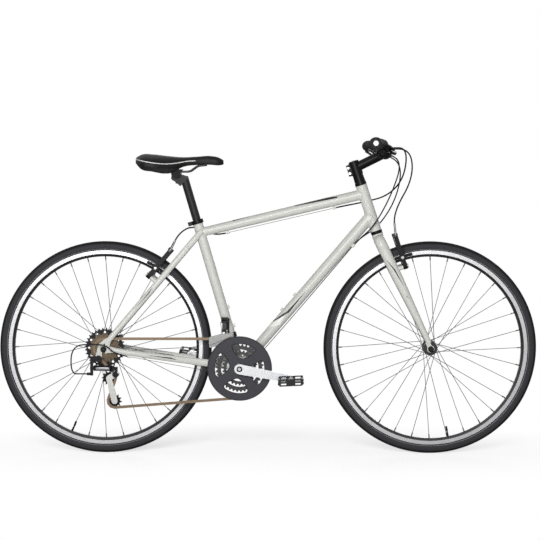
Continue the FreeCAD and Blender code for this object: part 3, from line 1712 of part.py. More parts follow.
def brake_arm(axle, pivot, up, axis, way, led):
    """One brake arm with its pad, and on one side the bent guide for the cable."""
    y = float(s.stud_spread) * way
    base = side(pivot, y)
    across_out = Y * way
    length = float(s.arm_length)
    lean = 5.0
    z_axis = across_out.cross(up)
    start = base - z_axis * float(arm_half)
    outline = stadium(0, 0, lean, length, s.arm_boss_r, s.arm_top_r)
    hole = [(0, 0, s.stud_r + s.run_gap)]
    arm = pad("brake_arm", outline, s.arm_thick, posed(start, z_axis, across_out), hole)
    shoe, out, far = pad_block(axle, pivot, up, way)
    post_at = axle + out * float(pad_mid_r)
    post_at = side(post_at, far)
    grown = float(s.stud_spread) + 12 - abs(far)
    post = cylinder("pad_post", 4.5, grown, post_at, across_out)
    nut = cylinder("pad_nut", 6, 4, post_at + across_out * grown, across_out)
    lug = block("pad_lug", 14, 12, s.arm_thick + 8, side(post_at, y + 1.0 * way), axis, Y)
    pieces = [arm, lug, post, nut]
    head = base + up * length + across_out * lean
    tip_y = 24.0
    tools = []
    if led:
        inside = side(head, tip_y * way)
        knee = side(head, (abs(head.y) + 13) * way)
        top = knee + up * float(s.noodle_leg) + axis * 9 + across_out * 2
        bent = solid("noodle", swept([inside, knee, top], s.noodle_r + 0.4, 16))
        pieces.append(bent)
        tools.append(cylinder("noodle_bore", s.noodle_bore_r, 14, inside, across_out))
    else:
        anchor = cylinder("cable_anchor", 4.5, 5, head + axis * float(arm_half), axis)
        wire = solid("cable_end", rod(s.cable_d / 2, head, side(head, -(tip_y + 2) * way)))
        boot = turned(
            "boot",
            [(0, 0), (4.6, 0), (3.6, 4), (4.6, 8), (3.6, 12), (4.6, 16), (3, 22), (0, 22)],
            side(head, (abs(head.y) - 8) * way),
            across_out * -1,
        )
        pieces += [anchor, wire, boot]
    shape = fuse("brake_arm", *pieces)
    bore = cylinder("stud_way", s.stud_r + s.run_gap, 60, base - axis * 30, axis)
    return [cut("brake_arm", shape, bore, *tools), shoe]


node("front_brake_arm_right", *brake_arm(front_axle, front_pivot, steer_up, steer_ahead, -1, True))
node("front_brake_arm_left", *brake_arm(front_axle, front_pivot, steer_up, steer_ahead, 1, False))
node("rear_brake_arm_right", *brake_arm(rear_axle, rear_pivot, stay_along, stay_back, -1, True))
node("rear_brake_arm_left", *brake_arm(rear_axle, rear_pivot, stay_along, stay_back, 1, False))

# rear derailleur

link_z = hanger.z - 30
knuckle_x = hanger.x - 11.5
outer_y = -(s.rear_space / 2 + s.dropout_thick + 12.5)
inner_y = outer_y + s.link_gap
link_lean = math.asin(10.0 / float(s.link_length))
link_along = Vector(math.cos(link_lean), -math.sin(link_lean), 0)
tongue_h = s.link_height / 2
tongue_r = 4.2
cage_half = 4.6
cage_pivot = rear_axle + Vector(40.5, 0, -81)


def link_ends(y):
    """The two pivots of a derailleur link."""
    start = vec(knuckle_x, y, link_z)
    return start, start + link_along * float(s.link_length)


def shift_link(y):
    """A link whose ears close over the tongues of both knuckles."""
    start, end = link_ends(y)
    low = Z * float(s.link_height / 2)
    pieces = [block("link", s.link_length, 4, s.link_height, (start + end) * 0.5, Z, link_along)]
    tools = []
    for spot in (start, end):
        pieces.append(cylinder("link_eye", tongue_r, s.link_height, spot - low))
        notch = tongue_h + s.move_gap * 2
        tools.append(cylinder("link_notch", 5.8, notch, spot - Z * float(notch / 2)))
        tools.append(cylinder("link_bore", s.link_pin_r + s.run_gap, 40, spot - Z * 20))
    return cut("link", fuse("link", *pieces), *tools)


def tongues(end, ahead):
    """The tongues and pins of one knuckle, joined by a bar."""
    spots = [link_ends(y)[end] for y in (outer_y, inner_y)]
    pieces = []
    for spot in spots:
        pieces.append(cylinder("tongue", tongue_r, tongue_h, spot - Z * float(tongue_h / 2)))
        neck = spot + X * (5 * ahead)
        pieces.append(block("tongue_neck", 10, tongue_r * 2, tongue_h, neck))
        pin_low = spot - Z * float(s.link_height / 2)
        pieces.append(cylinder("tongue_pin", s.link_pin_r, s.link_height, pin_low))
    middle = (spots[0] + spots[1]) * 0.5 + X * (10.5 * ahead)
    pieces.append(block("tongue_bar", 9, s.link_gap + tongue_r * 2, tongue_h, middle))
    return pieces


def upper_knuckle():
    """The part that hangs from the frame and takes the cable housing."""
    face = s.rear_space / 2 + s.dropout_thick + s.move_gap
    bolt_end = side(hanger, -(s.rear_space / 2) + 1.0)
    bolt = cylinder("hanger_bolt", hanger_bolt_r, face - s.rear_space / 2 + 6, bolt_end, -Y)
    hub = cylinder("hanger_hub", 11, 12, side(hanger, -face), -Y)
    socket = cylinder("bolt_socket", 3, 4, side(hanger, -face - 12), Y)
    middle_y = -face - 6
    riser = block("riser", 9, 12, 44, vec(knuckle_x - 10.5, middle_y, link_z + 14))
    shelf = block("shelf", 26, 12, 16, vec(knuckle_x - 2, middle_y, hanger.z))
    chin = block("chin", 9, 10, 26, vec(knuckle_x - 10.5, middle_y, link_z - 11))
    nose = cylinder("barrel", 4.6, 14, vec(knuckle_x - 12, middle_y, link_z - 19), -X)
    whole = fuse("upper_knuckle", bolt, hub, riser, shelf, chin, nose, *tongues(0, -1))
    inlet_at = vec(knuckle_x - 18, middle_y, link_z - 19)
    inlet = cylinder("barrel_seat", s.shift_housing_d / 2, 10, inlet_at, -X)
    return cut("upper_knuckle", whole, inlet, socket)


def lower_knuckle():
    """The part that carries the cage pivot."""
    spots = [link_ends(y)[1] for y in (outer_y, inner_y)]
    face = s.chain_line + cage_half + s.cage_plate + 1.5
    far = -float(spots[0].y)
    hub = cylinder("cage_hub", 10, far - face, side(cage_pivot, -face), -Y)
    middle = (spots[0] + spots[1]) * 0.5 + X * 10.5
    post = block("knuckle_post", 9, s.link_gap, 24, vec(middle.x, middle.y, link_z - 8))
    bore = cylinder("cage_bore", 4 + s.run_gap, 26, side(cage_pivot, -face), -Y)
    return cut("lower_knuckle", fuse("lower_knuckle", hub, post, *tongues(1, 1)), bore)


def cage():
    """Two cage plates held apart by the pulley bolts, with the pivot stub."""
    outer_face = s.chain_line + cage_half
    inner_face = s.chain_line - cage_half - s.cage_plate
    pieces = []
    guide = flat(guide_at_rest)
    tension = flat(tension_at_rest)
    pivot = flat(cage_pivot)
    frame = side_plane(side(Vector(), -outer_face))
    pieces.append(pad("cage_outer", stadium(*tension, *guide, 10, 9), s.cage_plate, frame))
    pieces.append(pad("cage_ear", stadium(*guide, *pivot, 9, 9), s.cage_plate, frame))
    frame = side_plane(side(Vector(), -inner_face))
    pieces.append(pad("cage_inner", stadium(*tension, *guide, 10, 8), s.cage_plate, frame))
    width = cage_half * 2 + s.cage_plate * 2
    for spot in (guide_at_rest, tension_at_rest):
        pieces.append(cylinder("pulley_bolt", 2.5, width, side(spot, -inner_face), -Y))
        head = side(spot, -outer_face - s.cage_plate)
        pieces.append(cylinder("pulley_head", 4, 1.2, head, -Y))
    pieces.append(cylinder("cage_stub", 4, 24, side(cage_pivot, -outer_face), -Y))
    return fuse("cage", *pieces)


def pulley(middle, phase):
    """A toothed pulley with its hub."""
    bore = 2.5 + s.run_gap
    teeth = sprocket(s.pulley_teeth, middle, -float(s.chain_line), phase, bore)
    start = side(middle, -s.chain_line - cage_half + s.move_gap)
    end = side(middle, -s.chain_line + cage_half - s.move_gap)
    hub = rod(8, start, end).cut(rod(bore, start, end))
    return solid("pulley", teeth.fuse(hub).removeSplitter())


node("rd_upper_knuckle", upper_knuckle())
node("rd_outer_link", shift_link(outer_y))
node("rd_inner_link", shift_link(inner_y))
node("rd_lower_knuckle", lower_knuckle())
node("rd_cage", cage())
node("guide_pulley", pulley(guide_at_rest, held[2]))
node("tension_pulley", pulley(tension_at_rest, held[1]))

# front derailleur

fd_swing = s.ring_pitch
fd_drop = 29.0
fd_cage_at = bb + vec(-50, -s.chain_line, 123)
fd_link_at = fd_cage_at + vec(0, fd_swing, fd_drop)
band_at = bb + seat_up * 100
plate_out = s.chain_line + 5.4
plate_in = s.chain_line - 5.4 - s.cage_plate


def fd_ears(spot, lift):
    """Two ears and a pin along X about a pivot."""
    ears = [cylinder("fd_ear", 5, 3, spot + X * way, X) for way in (7.5, -10.5)]
    pin = cylinder("fd_pin", 2, 21, spot - X * 10.5, X)
    feet = [
        block("fd_foot", 3, 8, 10, spot + X * (9.0 * way) + lift * 5, lift, X) for way in (-1, 1)
    ]
    return [*ears, pin, *feet]


def fd_clamp():
    """The band on the seat tube and the bracket the link hangs from."""
    band = cylinder("fd_band", s.seat_tube_d / 2 + 3, 16, band_at, seat_up)
    top = fd_link_at.z + 4
    tube_face = float(s.seat_tube_d) / 2 + 0.5
    reach = abs(fd_link_at.y) - 6 - tube_face
    arm_at = vec(fd_link_at.x, -tube_face - reach / 2, top)
    arm = block("fd_arm", 21, reach, 10, arm_at)
    ear_link = block("fd_shoulder", 21, 12, 5, vec(fd_link_at.x, fd_link_at.y + 2, top + 6.5))
    arm_top = block("fd_roof", 21, reach + 4, 5, vec(fd_link_at.x, arm_at.y - 2, top + 6.5))
    tall = top + 5 - band_at.z
    post_at = vec(fd_link_at.x + 8, -tube_face - 2.5, band_at.z + tall / 2)
    post = block("fd_post", 14, 5, tall, post_at)
    ears = fd_ears(fd_link_at, Z)
    whole = fuse("fd_clamp", band, arm, arm_top, ear_link, post, *ears)
    return cut("fd_clamp", whole, seat_core)


def fd_link():
    """The link that swings the cage across the chainrings."""
    along = unit(fd_cage_at - fd_link_at)
    length = (fd_cage_at - fd_link_at).Length
    middle = (fd_cage_at + fd_link_at) * 0.5
    pieces = [block("fd_link", 14, 5, length, middle, along, X)]
    tools = []
    for spot in (fd_cage_at, fd_link_at):
        pieces.append(cylinder("fd_eye", 4.2, 14, spot - X * 7, X))
        tools.append(cylinder("fd_eye_bore", 2 + s.run_gap, 20, spot - X * 10, X))
    return cut("fd_link", fuse("fd_link", *pieces), *tools)


def fd_cage():
    """The cage round the chain, open where the chain runs through."""
    outer = [(-22, 116), (-60, 113), (-99, 102), (-100, 80), (-97, 77), (-60, 92.5), (-24, 107)]
    inner = [(-20, 116), (-60, 113), (-99, 102), (-100, 70), (-97, 67), (-60, 73), (-20, 90)]
    pieces = []
    frame = side_plane(side(bb, -plate_out))
    pieces.append(pad("fd_outer", outer, s.cage_plate, frame))
    frame = side_plane(side(bb, -plate_in))
    pieces.append(pad("fd_inner", inner, s.cage_plate, frame))
    width = plate_out - plate_in + s.cage_plate
    middle_y = -(plate_out + s.cage_plate + plate_in) / 2
    pieces.append(block("fd_bridge", 30, width, 4, bb + vec(-46, middle_y, 112)))
    pieces += fd_ears(fd_cage_at, -Z)
    return fuse("fd_cage", *pieces)


node("front_derailleur_clamp", fd_clamp())
node("fd_link", fd_link())
node("fd_cage", fd_cage())

# seatpost and saddle

post_low = seat_high - seat_up * float(s.post_depth)
post_top = seat_high + seat_up * float(s.post_rise)
tilt_at = post_top + Vector(-float(s.post_layback), 0, 20)
clamp_r = s.clamp_r
rail_z = tilt_at.z + 5
head_half = 15.0


def seatpost():
    """The post with its set-back head, hollowed for the tilting clamp."""
    length = (post_top - post_low).Length + 8
    tube = cylinder("post", s.post_d / 2, length, post_low, seat_up)
    hollow = cylinder("post_bore", s.post_d / 2 - 2.4, length - 30, post_low, seat_up)
    px = post_top.x
    pz = post_top.z
    tx = tilt_at.x
    tz = tilt_at.z
    head = [
        (px + 10, pz + 4),
        (px + 4, pz + 12, 10),
        (tx + 14, tz - 3),
        (tx - 15, tz - 3),
        (tx - 17, tz - 17),
        (tx - 8, tz - 25, 14),
        (px - 14, pz - 22),
    ]
    neck = pad("post_head", head, head_half * 2, side_plane(Vector(0, head_half, 0)))
    seat = cylinder("clamp_seat", clamp_r + s.run_gap, 80, tilt_at - Y * 40, Y)
    bolt = cylinder("post_bolt", 5.5, 9, tilt_at + Vector(2, 0, -34), Vector(0.1, 0, 1))
    return cut("seatpost", fuse("seatpost", cut("post", tube, hollow), neck, bolt), seat)


rail_y = s.rail_spread / 2
clamp_wide = s.rail_spread + 16


def saddle_clamp():
    """The tilting lower half and the plate that closes over the rails."""
    drum = cylinder("clamp_drum", clamp_r, clamp_wide, tilt_at - Y * float(clamp_wide / 2), Y)
    top_off = block("clamp_top", 60, clamp_wide + 10, 40, side(tilt_at, 0) + Z * 25.2)
    ways = []
    for way in (-1, 1):
        spot = vec(tilt_at.x - 40, rail_y * way, rail_z)
        ways.append(cylinder("rail_way", s.rail_d / 2 + s.run_gap, 80, spot, X))
    plate_at = vec(tilt_at.x, 0, rail_z + 4.2)
    plate = block("clamp_plate", 40, clamp_wide, 8, plate_at)
    lower = cut("clamp_drum", drum, top_off, *ways)
    upper = cut("clamp_plate", plate, *ways)
    pins = block("clamp_core", 16, 22, 12, vec(tilt_at.x, 0, rail_z))
    return fuse("saddle_clamp", lower, upper, pins)


node("seatpost", seatpost())
node("saddle_clamp", saddle_clamp())

saddle_rear = vec(tilt_at.x - 129, 0, 0).x
saddle_stations = (
    (0.0, 0.50, 44, 34, 24),
    (0.06, 0.86, 59, 42, 12),
    (0.2, 1.0, 61.5, 45, 6),
    (0.36, 0.80, 56.5, 42, 0),
    (0.54, 0.46, 52.5, 38, 22),
    (0.7, 0.31, 54.5, 34, 27),
    (0.86, 0.27, 56.5, 32, 27.5),
    (0.96, 0.23, 50.5, 30, 26),
    (1.0, 0.14, 44, 34, 28),
)


def saddle_section(share, wide, top, mid, low):
    """A saddle cross-section: crown, rounded sides and a hollow underside."""
    x = saddle_rear + float(s.saddle_length) * share
    half = float(s.saddle_width) / 2 * wide
    base = tilt_at.z
    edge = base + low
    under = base + max(low + 2.0, min(mid - 6, 27.0))
    corners = [
        Vector(x, 0, base + top),
        Vector(x, half * 0.66, base + top - 0.10 * half),
        Vector(x, half, base + 0.5 * (top - 0.18 * half + low)),
        Vector(x, half * 0.93, edge),
        Vector(x, half * 0.55, under),
    ]
    left = [Vector(p.x, -p.y, p.z) for p in corners]
    floor = Part.LineSegment(corners[4], left[4]).toShape()
    crown_mid = corners[1] * 0.5 + corners[0] * 0.5 + Z * (0.022 * half)
    edges = [Part.Arc(corners[0], crown_mid, corners[1]).toShape()]
    shoulder = corners[1] * 0.5 + corners[2] * 0.5 + Vector(0, 0.07 * half, 0.07 * half)
    edges.append(Part.Arc(corners[1], shoulder, corners[2]).toShape())
    edges.append(Part.LineSegment(corners[2], corners[3]).toShape())
    edges.append(Part.LineSegment(corners[3], corners[4]).toShape())
    edges.append(floor)
    edges.append(Part.LineSegment(left[4], left[3]).toShape())
    edges.append(Part.LineSegment(left[3], left[2]).toShape())
    shoulder = Vector(shoulder.x, -shoulder.y, shoulder.z)
    crown_mid = Vector(crown_mid.x, -crown_mid.y, crown_mid.z)
    edges.append(Part.Arc(left[2], shoulder, left[1]).toShape())
    edges.append(Part.Arc(left[1], crown_mid, left[0]).toShape())
    return Part.Wire(edges)


def rail(way):
    """One saddle rail, from under the nose through the clamp to the rear."""
    y = float(rail_y) * way
    nose = saddle_rear + float(s.saddle_length)
    points = [
        Vector(nose - 52, 13 * way, tilt_at.z + 27),
        Vector(nose - 82, 15 * way, tilt_at.z + 24),
        Vector(tilt_at.x + 45, y, rail_z),
        Vector(tilt_at.x - 58, y, rail_z),
        Vector(saddle_rear + 36, 28 * way, tilt_at.z + 26),
        Vector(saddle_rear + 24, 29 * way, tilt_at.z + 28),
    ]
    return swept(points, s.rail_d / 2, 30)


rails = [rail(-1), rail(1)]
shell = Part.makeLoft([saddle_section(*row) for row in saddle_stations], True, False)
for shape in rails:
    shell = shell.cut(shape)
node("saddle", solid("saddle", shell))
node("saddle_rails", *[solid("rail", shape) for shape in rails])

# cables along the frame

housing_r = s.brake_housing_d / 2
shift_r = s.shift_housing_d / 2
wire_r = s.cable_d / 2
cables = []
rear_stop, front_stop = top_stops
cables.append(rod(wire_r, rear_stop + top_along * 2.2, front_stop - top_along * 2.2))
rear_head = side(rear_pivot + stay_along * float(s.arm_length), -(float(s.stud_spread) + 5))
rear_knee = side(rear_head, -(abs(rear_head.y) + 13))
rear_in = rear_knee + stay_along * float(s.noodle_leg) + stay_back * 9 - Y * 2
rear_lead = unit(rear_in - rear_knee)
beside = float(s.seat_tube_d) / 2 + 10
back_way = [
    rear_stop + top_along * 2,
    rear_stop - top_along * 16,
    vec(top_rear.x + 43, beside - 9, top_rear.z - 7),
    vec(top_rear.x + 18, beside, top_rear.z + 4),
    vec(top_rear.x - 4, beside, top_rear.z + 13),
    vec(top_rear.x - 26, beside - 8, top_rear.z + 17),
    vec(top_rear.x - 46, -10, top_rear.z + 14),
    rear_in + rear_lead * 20,
    rear_in + rear_lead * float(s.seat_gap),
]
cables.append(swept(back_way, housing_r, 40))

low_guide = guide_at + Vector(0, 0, -6)
under = -1.3
right_run = [
    down_stops[-1] - down_along * 2.2,
    low_guide + Vector(16, -6, under),
    low_guide + Vector(-16, -8, under),
    chain_stop - stay_run * 2.2,
]
cables.append(swept(right_run, wire_r, 4))
fd_anchor = fd_link_at + Vector(-13.5, 8, -2)
left_run = [
    down_stops[1] - down_along * 2.2,
    low_guide + Vector(16, 6, under),
    low_guide + Vector(-17, 2, under),
    low_guide + Vector(-26, 0, 4),
    fd_anchor,
]
cables.append(swept(left_run, wire_r, 4))
knuckle_in = vec(knuckle_x - 18, -(s.rear_space / 2 + s.dropout_thick + s.move_gap + 6), link_z - 19)
stop_end = chain_stop + stay_run * -2
loop = [
    stop_end,
    chain_stop + stay_run * 20,
    rear_axle + Vector(30, -88, -8),
    rear_axle + Vector(14, -93, 13),
    rear_axle + Vector(-30, -94, 19),
    rear_axle + Vector(-102, -92, 13),
    rear_axle + Vector(-106, -86, -79),
    knuckle_in - X * 24,
    knuckle_in,
]
cables.append(swept(loop, shift_r, 36))
node("frame_cables", *[solid("cable", shape) for shape in cables])

# cables from the bar

front_head = side(front_pivot + steer_up * float(s.arm_length), -(float(s.stud_spread) + 5))
front_knee = side(front_head, -(abs(front_head.y) + 13))
front_in = front_knee + steer_up * float(s.noodle_leg) + steer_ahead * 9 - Y * 2
front_lead = unit(front_in - front_knee)
front_end = front_in + front_lead * float(s.seat_gap)


def leaving(way, shift):
    """Where a housing leaves a control, and the direction it leaves in."""
    spot = in_lever(way, -35.2, 17, -20) if shift else in_lever(way, -30, 19)
    return spot, grip_out(way) * -1


def bar_cable(start, routes, radius, bend):
    """A housing from a control along corner points to its stop."""
    spot, lead = start
    return solid("housing", swept([spot, spot + lead * 34, *routes], radius, bend))


right_in = down_stops[-1] + down_along * -2
left_in = down_stops[1] + down_along * -2
front_stop_in = front_stop - top_along * 2
node(
    "bar_cables",
    bar_cable(
        leaving(-1, True),
        [
            Vector(437, -62, 958),
            Vector(404, -40, 852),
            Vector(348, -33, 748),
            right_in + down_along * 30,
            right_in,
        ],
        shift_r,
        90,
    ),
    bar_cable(
        leaving(1, True),
        [
            Vector(446, 76, 950),
            Vector(426, 58, 838),
            Vector(366, 36, 745),
            left_in + down_along * 30,
            left_in,
        ],
        shift_r,
        90,
    ),
    bar_cable(
        leaving(-1, False),
        [
            Vector(452, -84, 1002),
            Vector(446, -14, 905),
            Vector(396, 34, 846),
            Vector(318, 30, 826),
            front_stop_in + top_along * 22,
            front_stop_in,
        ],
        housing_r,
        90,
    ),
    bar_cable(
        leaving(1, False),
        [
            Vector(474, 92, 1000),
            Vector(478, 20, 905),
            front_end + front_lead * 34,
            front_end,
        ],
        housing_r,
        90,
    ),
)

# recompute, check and write

doc.recompute()
os.makedirs("parts", exist_ok=True)
for thing in doc.Objects:
    if "Invalid" in thing.State or "Error" in thing.State:
        raise RuntimeError(f"{thing.Label} does not recompute: {thing.State}")
for thing in nodes:
    shape = thing.Shape
    if shape.isNull() or not shape.isValid() or not shape.Solids:
        raise RuntimeError(f"{thing.Label} is not a valid solid")
for thing in nodes:
    thing.Shape.exportStep(os.path.join("parts", f"{thing.Label}.step"))
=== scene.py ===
"""Finishes, soft pieces and studio of a flat-bar hybrid bicycle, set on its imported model."""

import json
import logging
import math
from dataclasses import dataclass
from enum import Enum
from typing import Callable, Iterable, Sequence

import bmesh
import bpy
import numpy as np
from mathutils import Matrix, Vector


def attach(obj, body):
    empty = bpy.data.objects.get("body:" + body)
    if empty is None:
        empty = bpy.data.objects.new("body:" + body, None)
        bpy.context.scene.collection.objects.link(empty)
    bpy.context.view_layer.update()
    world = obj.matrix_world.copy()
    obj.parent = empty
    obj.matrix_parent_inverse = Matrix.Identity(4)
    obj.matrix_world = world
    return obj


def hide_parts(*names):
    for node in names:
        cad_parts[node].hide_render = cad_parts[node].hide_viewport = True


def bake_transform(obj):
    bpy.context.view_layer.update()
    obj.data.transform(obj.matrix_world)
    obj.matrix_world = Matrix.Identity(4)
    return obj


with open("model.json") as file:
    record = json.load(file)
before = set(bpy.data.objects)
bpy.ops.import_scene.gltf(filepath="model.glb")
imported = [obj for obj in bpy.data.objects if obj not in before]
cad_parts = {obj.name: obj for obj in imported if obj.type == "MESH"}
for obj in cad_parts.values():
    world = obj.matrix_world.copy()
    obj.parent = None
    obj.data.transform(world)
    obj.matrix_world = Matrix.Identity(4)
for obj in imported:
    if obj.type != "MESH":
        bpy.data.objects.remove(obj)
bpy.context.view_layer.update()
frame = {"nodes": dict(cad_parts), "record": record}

LOG = logging.getLogger("bicycle")

Colour = tuple[float, float, float]
Point = tuple[float, float, float]
MM = 0.001


class Side(Enum):
    """The two sides of the bicycle, as the sign of y."""

    RIGHT = -1
    LEFT = 1


def tint(red: int, green: int, blue: int) -> Colour:
    """Linear colour of three 8-bit screen values."""
    shares = (value / 255 for value in (red, green, blue))
    return tuple(v / 12.92 if v < 0.04 else ((v + 0.055) / 1.055) ** 2.4 for v in shares)


class Sock:
    """A shader socket that does arithmetic by adding Math nodes."""

    def __init__(self, shader: "Nodes", socket: bpy.types.NodeSocket) -> None:
        """Wraps one socket of a tree."""
        self.shader = shader
        self.socket = socket

    def math(self, operation: str, *values: "Sock | float") -> "Sock":
        """One Math node.

        Args:
            operation: the node's operation.
            values: its inputs, in order.

        Returns:
            The node's output.
        """
        node = self.shader.node("ShaderNodeMath", {"operation": operation}, dict(enumerate(values)))
        return Sock(self.shader, node.outputs[0])

    def __add__(self, other: "Sock | float") -> "Sock":
        """The sum."""
        return self.math("ADD", self, other)

    def __radd__(self, other: float) -> "Sock":
        """The sum, a number first."""
        return self.math("ADD", other, self)

    def __sub__(self, other: "Sock | float") -> "Sock":
        """The difference."""
        return self.math("SUBTRACT", self, other)

    def __rsub__(self, other: float) -> "Sock":
        """The difference from a number."""
        return self.math("SUBTRACT", other, self)

    def __mul__(self, other: "Sock | float") -> "Sock":
        """The product."""
        return self.math("MULTIPLY", self, other)

    def __rmul__(self, other: float) -> "Sock":
        """The product, a number first."""
        return self.math("MULTIPLY", other, self)

    def __truediv__(self, other: "Sock | float") -> "Sock":
        """The quotient."""
        return self.math("DIVIDE", self, other)

    def __rtruediv__(self, other: float) -> "Sock":
        """The quotient of a number."""
        return self.math("DIVIDE", other, self)

    def root(self) -> "Sock":
        """The square root."""
        return self.math("SQRT", self)

    def wave(self) -> "Sock":
        """The sine."""
        return self.math("SINE", self)

    def rise(self, low: float, high: float) -> "Sock":
        """A smooth step.

        Args:
            low: the value below which the step is 0.
            high: the value above which it is 1.

        Returns:
            The step.
        """
        values = {"Value": self, "From Min": low, "From Max": high}
        node = self.shader.node("ShaderNodeMapRange", {"interpolation_type": "SMOOTHSTEP"}, values)
        return Sock(self.shader, node.outputs[0])

    def within(self, low: float, high: float, soft: float) -> "Sock":
        """1 between two values and 0 outside them, with soft edges."""
        return self.rise(low - soft, low + soft) * (1.0 - self.rise(high - soft, high + soft))


class Nodes:
    """A node tree under construction."""

    def __init__(self, tree: bpy.types.NodeTree) -> None:
        """Clears the tree.

        Args:
            tree: the tree to fill.
        """
        self.tree = tree
        self.tree.nodes.clear()
        self._spot: Sock | None = None
        self._place: tuple[Sock, Sock, Sock] | None = None

    def node(self, kind: str, settings: dict | None = None, values: dict | None = None) -> bpy.types.Node:
        """Adds a node.

        Args:
            kind: the node's type.
            settings: its properties, set before its sockets are filled.
            values: numbers, colours or sockets by input name or number.

        Returns:
            The node.
        """
        made = self.tree.nodes.new(kind)
        for key, value in (settings or {}).items():
            setattr(made, key, value)
        for key, value in (values or {}).items():
            self.feed(made.inputs[key], value)
        return made

    def feed(self, socket: bpy.types.NodeSocket, value: "Sock | float | Sequence[float]") -> None:
        """Links a socket, or sets its number or colour.

        Args:
            socket: the input.
            value: what it takes.
        """
        if isinstance(value, Sock):
            self.tree.links.new(value.socket, socket)
        elif socket.type == "RGBA":
            socket.default_value = (*value, 1.0)
        else:
            socket.default_value = value

    def spot(self) -> Sock:
        """The shaded point, from one node for the whole tree.

        Returns:
            Its place in metres, at rest.
        """
        if self._spot is None:
            self._spot = Sock(self, self.node("ShaderNodeTexCoord").outputs["Object"])
        return self._spot

    def place(self) -> tuple[Sock, Sock, Sock]:
        """The three coordinates of the shaded point.

        Returns:
            x, y and z in metres, at rest.
        """
        if self._place is None:
            parts = self.node("ShaderNodeSeparateXYZ", {}, {0: self.spot()})
            self._place = tuple(Sock(self, parts.outputs[i]) for i in range(3))
        return self._place

    def noise(self, scale: float, detail: float = 2.0, stretch: Point = (1.0, 1.0, 1.0)) -> Sock:
        """Noise over the shaded point.

        Args:
            scale: cells to the metre.
            detail: octaves.
            stretch: scale of each axis before the noise.

        Returns:
            A value about one half.
        """
        drawn = self.node("ShaderNodeVectorMath", {"operation": "MULTIPLY"}, {0: self.spot(), 1: stretch})
        values = {"Vector": Sock(self, drawn.outputs[0]), "Scale": scale, "Detail": detail}
        return Sock(self, self.node("ShaderNodeTexNoise", {}, values).outputs[0])

    def mix(self, share: "Sock | float", first: "Sock | Colour", second: "Sock | Colour") -> Sock:
        """A colour between two.

        Args:
            share: 0 for the first colour, 1 for the second.
            first: a colour or a colour socket.
            second: the same.

        Returns:
            The mixed colour.
        """
        node = self.node("ShaderNodeMix", {"data_type": "RGBA"}, {0: share, 6: first, 7: second})
        return Sock(self, node.outputs[2])

    def relief(self, height: Sock, depth: float) -> Sock:
        """A normal bent by a height.

        Args:
            height: values about 0 to 1.
            depth: metres between 0 and 1.

        Returns:
            The bent normal.
        """
        values = {"Height": height, "Distance": depth, "Strength": 1.0}
        return Sock(self, self.node("ShaderNodeBump", {}, values).outputs[0])


class Shader(Nodes):
    """A material under construction about one Principled shader."""

    def __init__(self, name: str) -> None:
        """Starts a material whose shader is linked to its output.

        Args:
            name: the material's name.
        """
        self.material = bpy.data.materials.new(name)
        self.material.use_nodes = True
        super().__init__(self.material.node_tree)
        self.body = self.node("ShaderNodeBsdfPrincipled")
        self.out = self.node("ShaderNodeOutputMaterial", {}, {0: Sock(self, self.body.outputs[0])})

    def fill(self, values: dict[str, "Sock | float | Colour"]) -> None:
        """Feeds the Principled shader's own sockets."""
        for key, value in values.items():
            self.feed(self.body.inputs[key], value)


# how the grain of each finish breaks up its colour and its gloss, and how soft the edge of a stripe is
PATCH = 30
FINE_WEAR = 0.6
BROAD_GLOSS = 0.12
FINE_GLOSS = 0.05
COAT_ROUGHNESS = 0.18
PAINT_EDGE = 0.25 * MM


@dataclass(frozen=True)
class Finish:
    """One surface: a colour, its gloss and the grain that breaks both up."""

    name: str
    colour: Colour
    roughness: float
    metallic: float = 0.0
    coat: float = 0.0
    specular: float = 0.5
    grain: float = 900.0
    mottle: float = 0.12
    depth: float = 0.02 * MM
    stretch: Point = (1.0, 1.0, 1.0)

    def hue(self, shader: Shader) -> "Sock | Colour":
        """The colour before the grain."""
        return self.colour

    def gloss(self, shader: Shader) -> "Sock | float":
        """The roughness before the grain."""
        return self.roughness

    def metal(self, shader: Shader) -> "Sock | float":
        """How far the surface is bare metal."""
        return self.metallic

    def height(self, shader: Shader, fine: Sock) -> Sock:
        """The height that the grain stands up."""
        return fine

    def make(self) -> bpy.types.Material:
        """Builds the material.

        Returns:
            It, ready for a mesh.
        """
        shader = Shader(self.name)
        fine = shader.noise(self.grain, 3.0, self.stretch)
        broad = shader.noise(self.grain / PATCH, 2.0, self.stretch)
        base = self.hue(shader)
        dark = shader.mix(self.mottle, base, (0.0, 0.0, 0.0))
        worn = (fine - 0.5) * FINE_WEAR + (broad - 0.5) * (1.0 - FINE_WEAR) + 0.5
        shader.fill(
            {
                "Base Color": shader.mix(worn, dark, base),
                "Roughness": (broad - 0.5) * BROAD_GLOSS + (fine - 0.5) * FINE_GLOSS + self.gloss(shader),
                "Metallic": self.metal(shader),
                "Coat Weight": self.coat,
                "Coat Roughness": COAT_ROUGHNESS,
                "Specular IOR Level": self.specular,
                "Normal": shader.relief(self.height(shader, fine), self.depth),
            }
        )
        return shader.material


